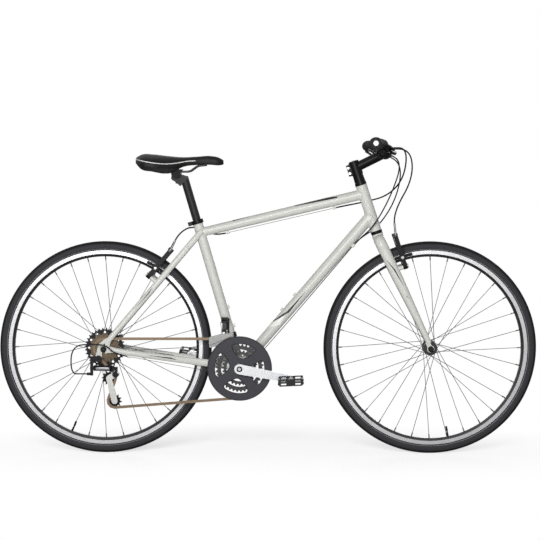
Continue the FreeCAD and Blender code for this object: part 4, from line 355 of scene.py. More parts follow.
@dataclass(frozen=True)
class Stripe:
    """A wedge of colour on a tube, seen square to the tube and the bicycle's side.

    Lengths are metres from start: reach along the tube, and the wedge's lower and upper edges at both
    ends of it.
    """

    start: Point
    along: Point
    reach: tuple[float, float]
    low: tuple[float, float]
    high: tuple[float, float]
    colour: Colour

    def mask(self, shader: Shader) -> Sock:
        """Where the wedge is.

        Args:
            shader: the paint's shader.

        Returns:
            1 inside the wedge and 0 outside it.
        """
        x, _, z = shader.place()
        x = x - self.start[0]
        z = z - self.start[2]
        t = x * self.along[0] + z * self.along[2]
        h = z * self.along[0] - x * self.along[2]
        share = (t - self.reach[0]) / (self.reach[1] - self.reach[0])
        floor = share * (self.low[1] - self.low[0]) + self.low[0]
        roof = share * (self.high[1] - self.high[0]) + self.high[0]
        tall = (h - floor).rise(-PAINT_EDGE, PAINT_EDGE) * (roof - h).rise(-PAINT_EDGE, PAINT_EDGE)
        return tall * t.within(*self.reach, PAINT_EDGE)


@dataclass(frozen=True)
class FramePaint(Finish):
    """Metallic paint under lacquer, with wedges of other colours."""

    stripes: tuple[Stripe, ...] = ()

    def hue(self, shader: Shader) -> "Sock | Colour":
        """The paint with its stripes.

        Args:
            shader: the paint's shader.

        Returns:
            The colour.
        """
        colour: "Sock | Colour" = self.colour
        for stripe in self.stripes:
            colour = shader.mix(stripe.mask(shader), colour, stripe.colour)
        return colour


@dataclass(frozen=True)
class RimFinish(Finish):
    """A rim with a bright machined brake track over a dark band, and turning marks round it."""

    axle: Point = (0.0, 0.0, 0.349)
    track: tuple[float, float] = (307.6 * MM, 321 * MM)
    track_edge: float = 0.2 * MM
    track_dull: float = 0.05
    band: Colour = tint(24, 24, 25)
    marks: float = 9000.0
    mark_share: float = 0.4

    def radius(self, shader: Shader) -> Sock:
        """How far the point is from the axle.

        Args:
            shader: the finish's shader.

        Returns:
            The distance, in metres.
        """
        x, _, z = shader.place()
        x = x - self.axle[0]
        z = z - self.axle[2]
        return (x * x + z * z).root()

    def bright(self, shader: Shader) -> Sock:
        """1 on the brake track."""
        return self.radius(shader).within(*self.track, self.track_edge)

    def hue(self, shader: Shader) -> "Sock | Colour":
        """Bright track, dark band."""
        return shader.mix(self.bright(shader), self.band, self.colour)

    def gloss(self, shader: Shader) -> "Sock | float":
        """The track is the duller of the two."""
        return self.bright(shader) * self.track_dull + self.roughness

    def metal(self, shader: Shader) -> "Sock | float":
        """Only the track is bare."""
        return self.bright(shader) * self.metallic

    def height(self, shader: Shader, fine: Sock) -> Sock:
        """Marks round the axle, with the grain."""
        marks = (self.radius(shader) * self.marks).wave()
        return marks * self.mark_share + fine * (1.0 - self.mark_share)


@dataclass(frozen=True)
class TyreFinish(RimFinish):
    """Rubber with a greyer sidewall, a pale line at the bead and moulding rings."""

    side: Colour = tint(54, 54, 57)
    wall: tuple[float, float] = (339 * MM, 342 * MM)
    line: Colour = tint(150, 150, 150)
    bead: tuple[float, float] = (322.6 * MM, 323.6 * MM)
    bead_edge: float = 0.15 * MM
    tread: tuple[float, float] = (338 * MM, 342 * MM)
    tread_dull: float = 0.12
    marks: float = 5200.0
    mark_share: float = 0.5

    def hue(self, shader: Shader) -> "Sock | Colour":
        """Black tread, grey wall, pale bead line.

        Args:
            shader: the finish's shader.

        Returns:
            The colour.
        """
        radius = self.radius(shader)
        wall = 1.0 - radius.rise(*self.wall)
        line = radius.within(*self.bead, self.bead_edge)
        return shader.mix(line, shader.mix(wall, self.colour, self.side), self.line)

    def gloss(self, shader: Shader) -> "Sock | float":
        """The wall is smoother than the tread."""
        return self.radius(shader).rise(*self.tread) * self.tread_dull + self.roughness

    def metal(self, shader: Shader) -> "Sock | float":
        """Rubber is never bare metal."""
        return self.metallic


@dataclass(frozen=True)
class CoverFinish(Finish):
    """Saddle cover: smooth black with dark grey panels low on its sides."""

    panel: Colour = tint(40, 40, 42)
    split: tuple[float, float] = (933 * MM, 937 * MM)
    pores: float = 700.0
    pore_share: float = 0.7

    def hue(self, shader: Shader) -> "Sock | Colour":
        """The cover darkens above the panels."""
        _, _, z = shader.place()
        return shader.mix(z.rise(*self.split), self.panel, self.colour)

    def height(self, shader: Shader, fine: Sock) -> Sock:
        """Leather-like pores."""
        cells = shader.node("ShaderNodeTexVoronoi", {}, {"Vector": shader.spot(), "Scale": self.pores})
        return Sock(shader, cells.outputs["Distance"]) * self.pore_share + fine * (1.0 - self.pore_share)


@dataclass(frozen=True)
class GripFinish(Finish):
    """Soft rubber with a fine checked press."""

    check: float = 3000.0

    def height(self, shader: Shader, fine: Sock) -> Sock:
        """Crossed ridges."""
        x, y, z = shader.place()
        return ((x + y) * self.check).wave() * ((z - y) * self.check).wave() * 0.35 + fine * 0.3 + 0.35


INK = tint(34, 34, 37)
PALE = tint(232, 232, 228)
SILVER = dict(
    colour=tint(204, 204, 199),
    roughness=0.42,
    specular=0.10,
    coat=0.30,
    grain=700.0,
    mottle=0.05,
    depth=0.004 * MM,
)
RUBBER = dict(colour=tint(26, 26, 27), roughness=0.62, specular=0.12, depth=0.12 * MM)
RIM = dict(colour=tint(174, 174, 176), roughness=0.34, metallic=0.75)

BLACK_ALLOY = Finish("black_alloy", tint(14, 14, 15), 0.36, specular=0.12, grain=1500.0)
POST_ALLOY = Finish(
    "post_alloy", tint(36, 36, 37), 0.46, specular=0.16, grain=1500.0, stretch=(1.0, 1.0, 0.2)
)
BLACK_PLASTIC = Finish("black_plastic", tint(18, 18, 19), 0.52, specular=0.10, grain=2200.0, depth=0.03 * MM)
BRIGHT_STEEL = Finish("bright_steel", tint(152, 153, 155), 0.28, 0.85, grain=1200.0, stretch=(1.0, 0.2, 1.0))
DARK_STEEL = Finish("dark_steel", tint(22, 21, 21), 0.42, 0.15, specular=0.15, grain=1800.0)
BROWN_STEEL = Finish("brown_steel", tint(88, 75, 58), 0.40, 0.60, grain=1500.0, mottle=0.40)
CHAIN_STEEL = Finish("chain_steel", tint(112, 94, 74), 0.44, 0.50, grain=1500.0, mottle=0.35)
PLATE_STEEL = Finish("plate_steel", tint(118, 117, 120), 0.36, 0.5, grain=1200.0, stretch=(0.2, 1.0, 1.0))
PAD_RUBBER = Finish("pad_rubber", tint(24, 24, 24), 0.75, specular=0.25, grain=1800.0, depth=0.05 * MM)
CABLE_COVER = Finish("cable_cover", tint(22, 22, 23), 0.40, specular=0.15, grain=2500.0)
CABLE_WIRE = Finish("cable_wire", tint(64, 64, 66), 0.38, 0.30, grain=3000.0, stretch=(0.2, 1.0, 1.0))
PLUG = Finish("end_plug", tint(205, 205, 203), 0.40, 0.1, grain=1500.0)
PIPING = Finish("piping", tint(225, 225, 222), 0.45, grain=1800.0)
GRIP = GripFinish("grip_rubber", tint(34, 34, 36), 0.62, specular=0.12, grain=1800.0, depth=0.08 * MM)
COVER = CoverFinish("saddle_cover", tint(24, 24, 25), 0.50, specular=0.14, grain=1400.0, depth=0.06 * MM)
PAINT = FramePaint("frame_paint", **SILVER)

SLOT_FINISHES: dict[str, Finish] = {
    finish.name: finish
    for finish in (
        PAINT,
        BLACK_ALLOY,
        BLACK_PLASTIC,
        BRIGHT_STEEL,
        CHAIN_STEEL,
        CABLE_COVER,
        GRIP,
        COVER,
        FramePaint("dropout_steel", **SILVER),
        Finish("tyre_rubber", **RUBBER),
        Finish("rim_alloy", **RIM),
        Finish("spoke_steel", tint(84, 84, 86), 0.34, 0.8, grain=2000.0),
        Finish("hub_alloy", tint(30, 30, 32), 0.34, 0.4, grain=1500.0),
        Finish("ring_steel", tint(26, 26, 28), 0.40, 0.3, grain=1500.0),
        Finish("crank_alloy", tint(176, 177, 179), 0.32, 0.75, grain=700.0, mottle=0.06),
        Finish("guard_plastic", tint(58, 58, 64), 0.44, specular=0.15, grain=1900.0),
        Finish("pedal_plastic", tint(22, 22, 23), 0.50, specular=0.2, grain=1500.0, depth=0.05 * MM),
        Finish("derailleur_black", tint(18, 18, 20), 0.34, 0.1, specular=0.14, grain=1500.0),
        Finish("cage_steel", tint(168, 168, 166), 0.34, 0.75, grain=900.0),
        Finish("rail_steel", tint(48, 48, 50), 0.34, 0.6, grain=1200.0),
    )
}


class Palette:
    """Materials already made, by finish."""

    def __init__(self) -> None:
        """Starts with nothing made."""
        self.made: dict[Finish, bpy.types.Material] = {}

    def get(self, finish: Finish) -> bpy.types.Material:
        """The finish's material, made once.

        Args:
            finish: the surface wanted.

        Returns:
            Its material.
        """
        if finish not in self.made:
            self.made[finish] = finish.make()
        return self.made[finish]


PALETTE = Palette()


@dataclass
class Island:
    """One separate solid of a node's mesh."""

    faces: np.ndarray
    low: Vector
    high: Vector

    @property
    def size(self) -> float:
        """Its longest side."""
        return max(self.high - self.low)


class Model:
    """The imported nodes, and how they are dressed.

    Points of a mesh that agree when metres are counted in weld steps are one point.
    """

    weld: float = 1e6
    slots: dict[str, str] = {row["node"]: row["material_slot"] for row in frame["record"]["subparts"]}

    @classmethod
    def islands(cls, node: str) -> list[Island]:
        """Splits a node's mesh into its separate solids.

        Args:
            node: the node's name.

        Returns:
            Its solids.
        """
        mesh = frame["nodes"][node].data
        points = np.empty(len(mesh.vertices) * 3)
        mesh.vertices.foreach_get("co", points)
        points = points.reshape(-1, 3)
        _, welded = np.unique(np.round(points * cls.weld).astype(np.int64), axis=0, return_inverse=True)
        welded = welded.ravel()
        group = np.arange(welded.max() + 1)
        loops = np.empty(len(mesh.loops), np.int64)
        mesh.loops.foreach_get("vertex_index", loops)
        starts = np.empty(len(mesh.polygons), np.int64)
        mesh.polygons.foreach_get("loop_start", starts)
        corners = welded[loops[starts[:, None] + np.arange(3)]]
        moved = True
        while moved:
            least = group[corners].min(axis=1)
            before = group.copy()
            for k in range(3):
                np.minimum.at(group, corners[:, k], least)
            group = group[group]
            moved = bool((group != before).any())
        owner = group[corners[:, 0]]
        found = []
        for mark in np.unique(owner):
            faces = np.nonzero(owner == mark)[0]
            spots = points[np.unique(loops[starts[faces][:, None] + np.arange(3)])]
            found.append(Island(faces, Vector(spots.min(axis=0)), Vector(spots.max(axis=0))))
        return found

    @classmethod
    def dress(cls, node: str, finish: Finish, *rules: tuple[Callable[[Island], bool], Finish]) -> None:
        """Gives a node its finish.

        Args:
            node: the node's name.
            finish: the finish of all solids that no rule picks.
            rules: a test of a solid and the finish of those that pass, the first rule to pass being used.
        """
        mesh = frame["nodes"][node].data
        mesh.materials.clear()
        for one in (finish, *(rule[1] for rule in rules)):
            mesh.materials.append(PALETTE.get(one))
        picks = np.zeros(len(mesh.polygons), np.int32)
        if rules:
            for island in cls.islands(node):
                passed = [k for k, (test, _) in enumerate(rules, 1) if test(island)]
                picks[island.faces] = passed[0] if passed else 0
        mesh.polygons.foreach_set("material_index", picks)
        mesh.update()
        LOG.info("dressed %s", node)

    @classmethod
    def dress_all(cls) -> None:
        """Gives every node the finish of its slot."""
        for node, slot in cls.slots.items():
            cls.dress(node, SLOT_FINISHES[slot])


def show(name: str, data: bpy.types.ID) -> bpy.types.Object:
    """Puts new data in the scene.

    Args:
        name: the object's name.
        data: its mesh, curve, lamp or camera.

    Returns:
        The object.
    """
    made = bpy.data.objects.new(name, data)
    bpy.context.scene.collection.objects.link(made)
    return made


class Form:
    """Meshes in the shared frame, in metres."""

    bar_points: int = 20
    bar_ease: float = 0.25
    crease: float = math.radians(30)
    hose_steps: int = 14
    hose_sides: int = 4

    @staticmethod
    def piece(name: str, points: Iterable, faces: Iterable, finish: Finish) -> bpy.types.Object:
        """A smooth mesh object.

        Args:
            name: the piece's name.
            points: its vertices.
            faces: their numbers, face by face.
            finish: its surface.

        Returns:
            The object, in the scene.
        """
        mesh = bpy.data.meshes.new(name)
        mesh.from_pydata([tuple(p) for p in points], [], [tuple(f) for f in faces])
        mesh.polygons.foreach_set("use_smooth", [True] * len(mesh.polygons))
        mesh.materials.append(PALETTE.get(finish))
        mesh.validate()
        shape = bmesh.new()
        shape.from_mesh(mesh)
        bmesh.ops.recalc_face_normals(shape, faces=shape.faces)
        shape.to_mesh(mesh)
        shape.free()
        return show(name, mesh)

    @staticmethod
    def grid(rows: int, columns: int, wrap_rows: bool) -> list[tuple[int, ...]]:
        """Faces of a grid whose columns join round.

        Args:
            rows: points one way.
            columns: points round.
            wrap_rows: whether the last row joins the first.

        Returns:
            Quads by vertex number.
        """
        faces = []
        for i in range(rows if wrap_rows else rows - 1):
            a, b = i * columns, (i + 1) % rows * columns
            for j in range(columns):
                k = (j + 1) % columns
                faces.append((a + j, b + j, b + k, a + k))
        return faces

    @classmethod
    def crisp(cls, piece: bpy.types.Object) -> bpy.types.Object:
        """The piece, with its edges sharp."""
        piece.data.set_sharp_from_angle(angle=cls.crease)
        return piece

    @staticmethod
    def rounded(
        ring: list[Vector], middle: Vector, away: Vector, steps: Sequence[tuple[float, float]]
    ) -> list[list[Vector]]:
        """Rings that close off an end in a round.

        Args:
            ring: the last full ring.
            middle: its middle.
            away: the direction out of the end.
            steps: the size of each ring as a share, and its millimetres past the end.

        Returns:
            The rings, outwards.
        """
        return [[middle + (p - middle) * size + away * (push * MM) for p in ring] for size, push in steps]

    @classmethod
    def loft(cls, name: str, rings: Sequence[Sequence[Vector]], finish: Finish) -> bpy.types.Object:
        """A closed skin over rings of points.

        Args:
            name: the piece's name.
            rings: rings of as many points each.
            finish: its surface.

        Returns:
            The object.
        """
        count = len(rings[0])
        points = [p for ring in rings for p in ring]
        faces = cls.grid(len(rings), count, False)
        faces.append(tuple(range(count)))
        last = (len(rings) - 1) * count
        faces.append(tuple(last + j for j in reversed(range(count))))
        return cls.piece(name, points, faces, finish)

    @classmethod
    def rods(
        cls, name: str, ends: Sequence[tuple[Vector, Vector, float]], finish: Finish
    ) -> bpy.types.Object:
        """Round bars with eased ends, all one piece.

        Args:
            name: the piece's name.
            ends: both ends and the radius of each bar.
            finish: its surface.

        Returns:
            The object.
        """
        points: list[Vector] = []
        faces: list[tuple[int, ...]] = []
        count = cls.bar_points
        for start, end, radius in ends:
            start, end = Vector(start), Vector(end)
            along = (end - start).normalized()
            aside = along.orthogonal().normalized()
            over = along.cross(aside)
            ease = min(radius, (end - start).length) * cls.bar_ease
            rings = (
                (start, radius - ease),
                (start + along * ease, radius),
                (end - along * ease, radius),
                (end, radius - ease),
            )
            base = len(points)
            for middle, wide in rings:
                for j in range(count):
                    turn = math.tau * j / count
                    points.append(middle + (aside * math.cos(turn) + over * math.sin(turn)) * wide)
            faces += [tuple(base + k for k in face) for face in cls.grid(len(rings), count, False)]
            faces.append(tuple(base + j for j in reversed(range(count))))
            faces.append(tuple(base + (len(rings) - 1) * count + j for j in range(count)))
        return cls.crisp(cls.piece(name, points, faces, finish))

    @classmethod
    def hose(
        cls, name: str, points: Sequence[Point], radius: float, finish: Finish, ring: bool = False
    ) -> bpy.types.Object:
        """A round hose along a smooth line.

        Args:
            name: the piece's name.
            points: control points, or the corners of a closed ring.
            radius: half its thickness.
            finish: its surface.
            ring: whether it closes on itself through its points.

        Returns:
            The object, as a mesh.
        """
        curve = bpy.data.curves.new(name, "CURVE")
        curve.dimensions = "3D"
        spline = curve.splines.new("POLY" if ring else "NURBS")
        spline.points.add(len(points) - 1)
        for knot, spot in zip(spline.points, points):
            knot.co = (*spot, 1.0)
        if ring:
            spline.use_cyclic_u = True
        else:
            spline.order_u = 3
            spline.use_endpoint_u = True
        curve.resolution_u = cls.hose_steps
        curve.bevel_depth = radius
        curve.bevel_resolution = cls.hose_sides
        curve.use_fill_caps = True
        path = show(name + "_path", curve)
        bpy.context.view_layer.update()
        mesh = bpy.data.meshes.new_from_object(path.evaluated_get(bpy.context.evaluated_depsgraph_get()))
        bpy.data.objects.remove(path)
        mesh.name = name
        mesh.materials.clear()
        mesh.materials.append(PALETTE.get(finish))
        mesh.polygons.foreach_set("use_smooth", [True] * len(mesh.polygons))
        return show(name, mesh)

    @staticmethod
    def keep(piece: bpy.types.Object, body: str, slot: str, *nodes: str) -> bpy.types.Object:
        """Lets a piece ride on a body in place of some nodes, and reports it.

        Args:
            piece: the object.
            body: the body that carries it.
            slot: the record's material slot; not used.
            nodes: the nodes it stands for.

        Returns:
            The object.
        """
        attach(piece, body)
        if nodes:
            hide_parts(*nodes)
        LOG.info("built %s on %s", piece.name, body)
        return piece


@dataclass(frozen=True)
class Tube:
    """A straight round tube of the frame."""

    start: Point
    end: Point
    radius: float
    end_radius: float

    @property
    def run(self) -> Vector:
        """From its start to its end."""
        return Vector(self.end) - Vector(self.start)

    @property
    def along(self) -> Vector:
        """Its direction."""
        return self.run.normalized()

    def skin(self, t: float, turn: float) -> Vector:
        """A point of its skin.

        Args:
            t: the length from its start.
            turn: the angle round it.

        Returns:
            The point.
        """
        aside = self.along.cross(Vector((0.0, 1.0, 0.0)))
        aside = aside.normalized() if aside.length > 0.1 else Vector((1.0, 0.0, 0.0))
        over = self.along.cross(aside)
        wide = self.radius + (self.end_radius - self.radius) * t / self.run.length
        return Vector(self.start) + self.along * t + (aside * math.cos(turn) + over * math.sin(turn)) * wide

    def off(self, spot: Vector) -> float:
        """How far a point is outside the skin of a tube of even width."""
        gap = spot - Vector(self.start)
        return (gap - self.along * gap.dot(self.along)).length - self.radius

    def seam(
        self, other: "Tube", start: float, end: float, count: int = 72, halvings: int = 24
    ) -> list[Vector]:
        """The line where this tube leaves another.

        Args:
            other: the tube it is welded to.
            start: a length inside the other tube.
            end: a length outside it.
            count: points round the line.
            halvings: how often the search for each point is halved.

        Returns:
            The points, in order.
        """
        line = []
        for k in range(count):
            turn = math.tau * k / count
            near, far = start, end
            for _ in range(halvings):
                half = (near + far) / 2
                near, far = (half, far) if other.off(self.skin(half, turn)) < 0 else (near, half)
            line.append(self.skin(near, turn))
        return line


@dataclass
class FrameSet:
    """The frame and fork: paint, stripes and weld beads."""

    top: Tube = Tube((-0.2199, 0, 0.7263), (0.3157, 0, 0.8528), 0.0145, 0.017)
    down: Tube = Tube((-0.09, 0, 0.285), (0.3392, 0, 0.7819), 0.0165, 0.01925)
    seat: Tube = Tube((-0.09, 0, 0.285), (-0.232, 0, 0.7675), 0.0163, 0.0163)
    head: Tube = Tube((0.3555, 0, 0.7325), (0.3063, 0, 0.8813), 0.0185, 0.0185)
    shell: Tube = Tube((-0.09, -0.034, 0.285), (-0.09, 0.034, 0.285), 0.02, 0.02)
    bead: float = 1.9 * MM

    def stripes(self) -> dict[str, tuple[Stripe, ...]]:
        """The wedges of colour.

        Returns:
            Those of each painted node.
        """
        top = (self.top.start, tuple(self.top.along))
        down = (self.down.start, tuple(self.down.along))
        stay = ((-0.5185, 0.0, 0.375), (0.6477, 0.0, 0.7619))
        chain = ((-0.4965, 0.0, 0.3445), (0.9894, 0.0, -0.1448))
        fork = ((0.3649, 0.0, 0.7043), (0.4354, 0.0, -0.9003))
        return {
            "main_frame": (
                Stripe(*top, (0.112, 0.180), (0.0115, 0.0155), (0.03, 0.03), INK),
                Stripe(*top, (0.320, 0.462), (0.0130, 0.0075), (0.0300, 0.0125), INK),
                Stripe(*down, (0.1607, 0.191), (0.0141, -0.008), (0.03, 0.0135), PALE),
                Stripe(*down, (0.191, 0.225), (-0.008, -0.0015), (0.0133, -0.0005), PALE),
                Stripe(*down, (0.242, 0.327), (-0.0040, 0.0), (0.0038, 0.0008), INK),
                Stripe(*down, (0.182, 0.242), (0.0156, -0.0040), (0.0180, 0.0038), INK),
            ),
            "seatstays": (
                Stripe(*stay, (0.125, 0.205), (0.0010, -0.0018), (0.0014, 0.0024), INK),
                Stripe(*stay, (0.205, 0.224), (-0.0018, 0.0015), (0.0024, 0.0028), INK),
            ),
            "chainstays": (
                Stripe(*chain, (0.107, 0.183), (-0.0012, -0.0026), (-0.0006, 0.0020), INK),
                Stripe(*chain, (0.183, 0.202), (-0.0026, -0.0032), (0.0020, -0.0024), INK),
            ),
            "fork_blades": (
                Stripe(*fork, (0.068, 0.108), (-0.0086, -0.0010), (-0.0080, 0.0036), INK),
                Stripe(*fork, (0.108, 0.168), (-0.0010, 0.0054), (0.0036, 0.0058), INK),
            ),
        }

    def build(self) -> None:
        """Paints the tubes and lays a bead round each joint."""
        for node, stripes in self.stripes().items():
            Model.dress(node, FramePaint(node + "_paint", **SILVER, stripes=stripes))
        reach, far = self.top.run.length, self.down.run.length
        joints = {
            "top_rear": self.top.seam(self.seat, 0.0, 0.06),
            "top_front": self.top.seam(self.head, reach, reach - 0.08),
            "down_front": self.down.seam(self.head, far, far - 0.12),
            "down_rear": self.down.seam(self.shell, 0.0, 0.06),
            "seat_low": self.seat.seam(self.shell, 0.0, 0.06),
        }
        for name, line in joints.items():
            Form.keep(Form.hose(name + "_weld", line, self.bead, PAINT, ring=True), "frame", "frame_paint")


@dataclass
class Wheel:
    """One wheel: tyre with its tread, rim, valve and hub parts.

    inside is the radius and half width of the tyre's inner outline, in millimetres. A band of the tread is two
    angles of the section in degrees and its depth as a share of the groove. The valve's stem and cap are the
    radius of both ends from the axle and their own radius.
    """

    name: str
    axle: Vector
    valve_turn: float
    centre_r: float = 330.5 * MM
    half: float = 18.5 * MM
    edge: float = math.radians(119)
    outer_points: int = 45
    inside: tuple[tuple[float, float], ...] = (
        (320.6, 9.4),
        (312.4, 9.3),
        (312.4, 6.6),
        (322, 10.4),
        (331, 15.0),
        (340, 11.6),
        (345.4, 0.0),
    )
    no_tread: float = 9.0
    blocks: int = 236
    cuts: int = 4
    groove: float = 1.0 * MM
    shoulder: tuple[float, float, float] = (36, 64, 1.0)
    middle: tuple[float, float, float] = (24, 34, 0.7)
    rib: tuple[float, float, float] = (14, 20, 0.7)
    steepest: float = 1.2
    draw_in: float = 0.02
    stem: tuple[float, float, float] = (302 * MM, 276 * MM, 2.6 * MM)
    stem_cap: tuple[float, float, float] = (282 * MM, 266 * MM, 3.4 * MM)

    def profile(self) -> np.ndarray:
        """The tyre's closed outline.

        Returns:
            Radius, width and angle round the section, point by point.
        """
        turns = np.linspace(-self.edge, self.edge, self.outer_points)
        outer = [(self.centre_r + self.half * math.cos(a), self.half * math.sin(a), a) for a in turns]
        rest = [(r * MM, y * MM, self.no_tread) for r, y in self.inside]
        rest += [(r * MM, -y * MM, self.no_tread) for r, y in reversed(self.inside[:-1])]
        return np.array(outer + rest)

    @staticmethod
    def band(angle: np.ndarray, low: float, high: float, depth: float) -> np.ndarray:
        """A depth between two angles of the section, and 0 outside them."""
        return ((angle > low) & (angle < high)) * depth

    def tyre(self) -> bpy.types.Object:
        """The tyre, with shoulder blocks and a ribbed crown cut into it.

        Returns:
            The piece.
        """
        shape = self.profile()
        count = self.blocks * self.cuts
        turns = np.arange(count) * (math.tau / count)
        phase = np.arange(count) % self.cuts
        angle = np.abs(np.degrees(shape[:, 2]))
        low = np.outer(phase == 0, self.band(angle, *self.shoulder))
        low += np.outer(phase == self.cuts // 2, self.band(angle, *self.middle))
        low += self.band(angle, *self.rib)
        radius = shape[:, 0] - low * self.groove * np.cos(np.minimum(np.abs(shape[:, 2]), self.steepest))
        across = shape[:, 1] * (1 - low * self.draw_in)
        x = self.axle.x + radius * np.cos(turns)[:, None]
        z = self.axle.z + radius * np.sin(turns)[:, None]
        points = np.stack([x, across, z], axis=-1).reshape(-1, 3)
        faces = Form.grid(count, len(shape), True)
        finish = TyreFinish(self.name + "_rubber", **RUBBER, axle=tuple(self.axle))
        return Form.piece(self.name + "_tyre_tread", points, faces, finish)

    def valve(self) -> bpy.types.Object:
        """The valve stem with its cap, pointing at the hub.

        Returns:
            The piece.
        """
        turn = math.radians(self.valve_turn)
        out = Vector((math.cos(turn), 0.0, math.sin(turn)))
        bars = [
            (self.axle + out * far, self.axle + out * near, radius)
            for far, near, radius in (self.stem, self.stem_cap)
        ]
        return Form.rods(self.name + "_valve", bars, BLACK_PLASTIC)

    def build(self) -> None:
        """Builds the soft parts and dresses the metal ones."""
        body = self.name + "_wheel"
        Form.keep(self.tyre(), body, "tyre_rubber", self.name + "_tyre")
        Form.keep(self.valve(), body, "black_plastic")
        Model.dress(self.name + "_rim", RimFinish(self.name + "_rim_alloy", **RIM, axle=tuple(self.axle)))
        Model.dress(self.name + "_skewer", DARK_STEEL)
        Model.dress(self.name + "_qr_lever", BRIGHT_STEEL)


@dataclass
class Cockpit:
    """Stem, and grips with the plugs at their ends.

    A station of a grip is a share of its length, then half its width, half its height and how far it is set
    forward, in millimetres.
    """

    inner: Point = (0.3630, 0.1799, 1.0125)
    outer: Point = (0.3413, 0.3000, 1.0131)
    stations: tuple[tuple[float, float, float, float], ...] = (
        (0.0, 16.6, 16.4, 0.0),
        (0.06, 17.2, 17.0, 0.0),
        (0.4, 16.2, 15.8, 0.0),
        (0.68, 18.2, 17.2, -1.0),
        (0.9, 21.0, 19.2, -2.0),
        (1.0, 19.8, 18.2, -2.0),
    )
    ribs: int = 26
    rib_depth: float = 0.45
    ribbed: tuple[float, float] = (0.08, 0.86)
    lean: Point = (1.0, 0.0, -0.12)
    points_round: int = 40
    rounding: tuple[tuple[float, float], ...] = ((0.93, 1.2), (0.80, 1.8), (0.55, 1.9))
    plug_reach: float = 4.2 * MM
    plug_radius: float = 8.6 * MM
    bolt_size: float = 12 * MM

    def ends(self, side: Side) -> tuple[Vector, ...]:
        """Both ends of one grip, the inner one first."""
        return tuple(Vector((x, y * side.value, z)) for x, y, z in (self.inner, self.outer))

    def grip(self, side: Side) -> bpy.types.Object:
        """A flared grip with fine ribs round it.

        Args:
            side: which hand.

        Returns:
            The piece.
        """
        start, end = self.ends(side)
        reach, along = (end - start).length, (end - start).normalized()
        back = Vector(self.lean)
        back = (back - along * back.dot(along)).normalized()
        over = along.cross(back)
        table = np.array(self.stations)
        rings = []
        for share in np.linspace(0.0, 1.0, self.ribs * 4 + 1):
            long, short, shift = (np.interp(share, table[:, 0], table[:, k]) for k in (1, 2, 3))
            dip = 0.0
            if self.ribbed[0] < share < self.ribbed[1]:
                dip = self.rib_depth * (0.5 - 0.5 * math.cos(math.tau * share * self.ribs))
            middle = start + along * (reach * share) + back * (shift * MM)
            ring = []
            for j in range(self.points_round):
                turn = math.tau * j / self.points_round
                wide, tall = (long - dip) * math.cos(turn), (short - dip) * math.sin(turn)
                ring.append(middle + (back * wide + over * tall) * MM)
            rings.append(ring)
        rings += Form.rounded(rings[-1], middle, along, self.rounding)
        return Form.loft(side.name.lower() + "_grip", rings, GRIP)

    def plug(self, side: Side) -> bpy.types.Object:
        """The plain disc that closes the bar's end.

        Args:
            side: which hand.

        Returns:
            The piece.
        """
        start, end = self.ends(side)
        face = end + (end - start).normalized() * self.plug_reach
        return Form.rods(side.name.lower() + "_end_plug", ((end, face, self.plug_radius),), PLUG)

    def build(self) -> None:
        """Builds the grips and dresses the rest."""
        for side in Side:
            Form.keep(self.grip(side), "steering", "grip_rubber", "grips")
            Form.keep(self.plug(side), "steering", "grip_rubber")
        Model.dress("stem", BLACK_ALLOY, (lambda part: part.size < self.bolt_size, BRIGHT_STEEL))


class Cord(Enum):
    """The kinds of cable, as their thickness in millimetres."""

    WIRE = 1.6
    SHIFT = 4.4
    BRAKE = 5.0


@dataclass
class Cable:
    """One cable or bare wire, along its control points."""

    name: str
    cord: Cord
    points: tuple[Point, ...]
    node: str = "frame_cables"
    hold: tuple[str, ...] = ("frame",)
    bend: tuple[Point, Point] | None = None

    def build(self) -> None:
        """Sweeps the cable, and ties it to its first body, or, if it has a bend, leaves it unparented in the
        shared frame.
        """
        finish = CABLE_WIRE if self.cord is Cord.WIRE else CABLE_COVER
        piece = Form.hose(self.name, self.points, self.cord.value / 2 * MM, finish)
        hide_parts(self.node)
        if self.bend:
            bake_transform(piece)
        else:
            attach(piece, self.hold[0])
        LOG.info("built %s", self.name)


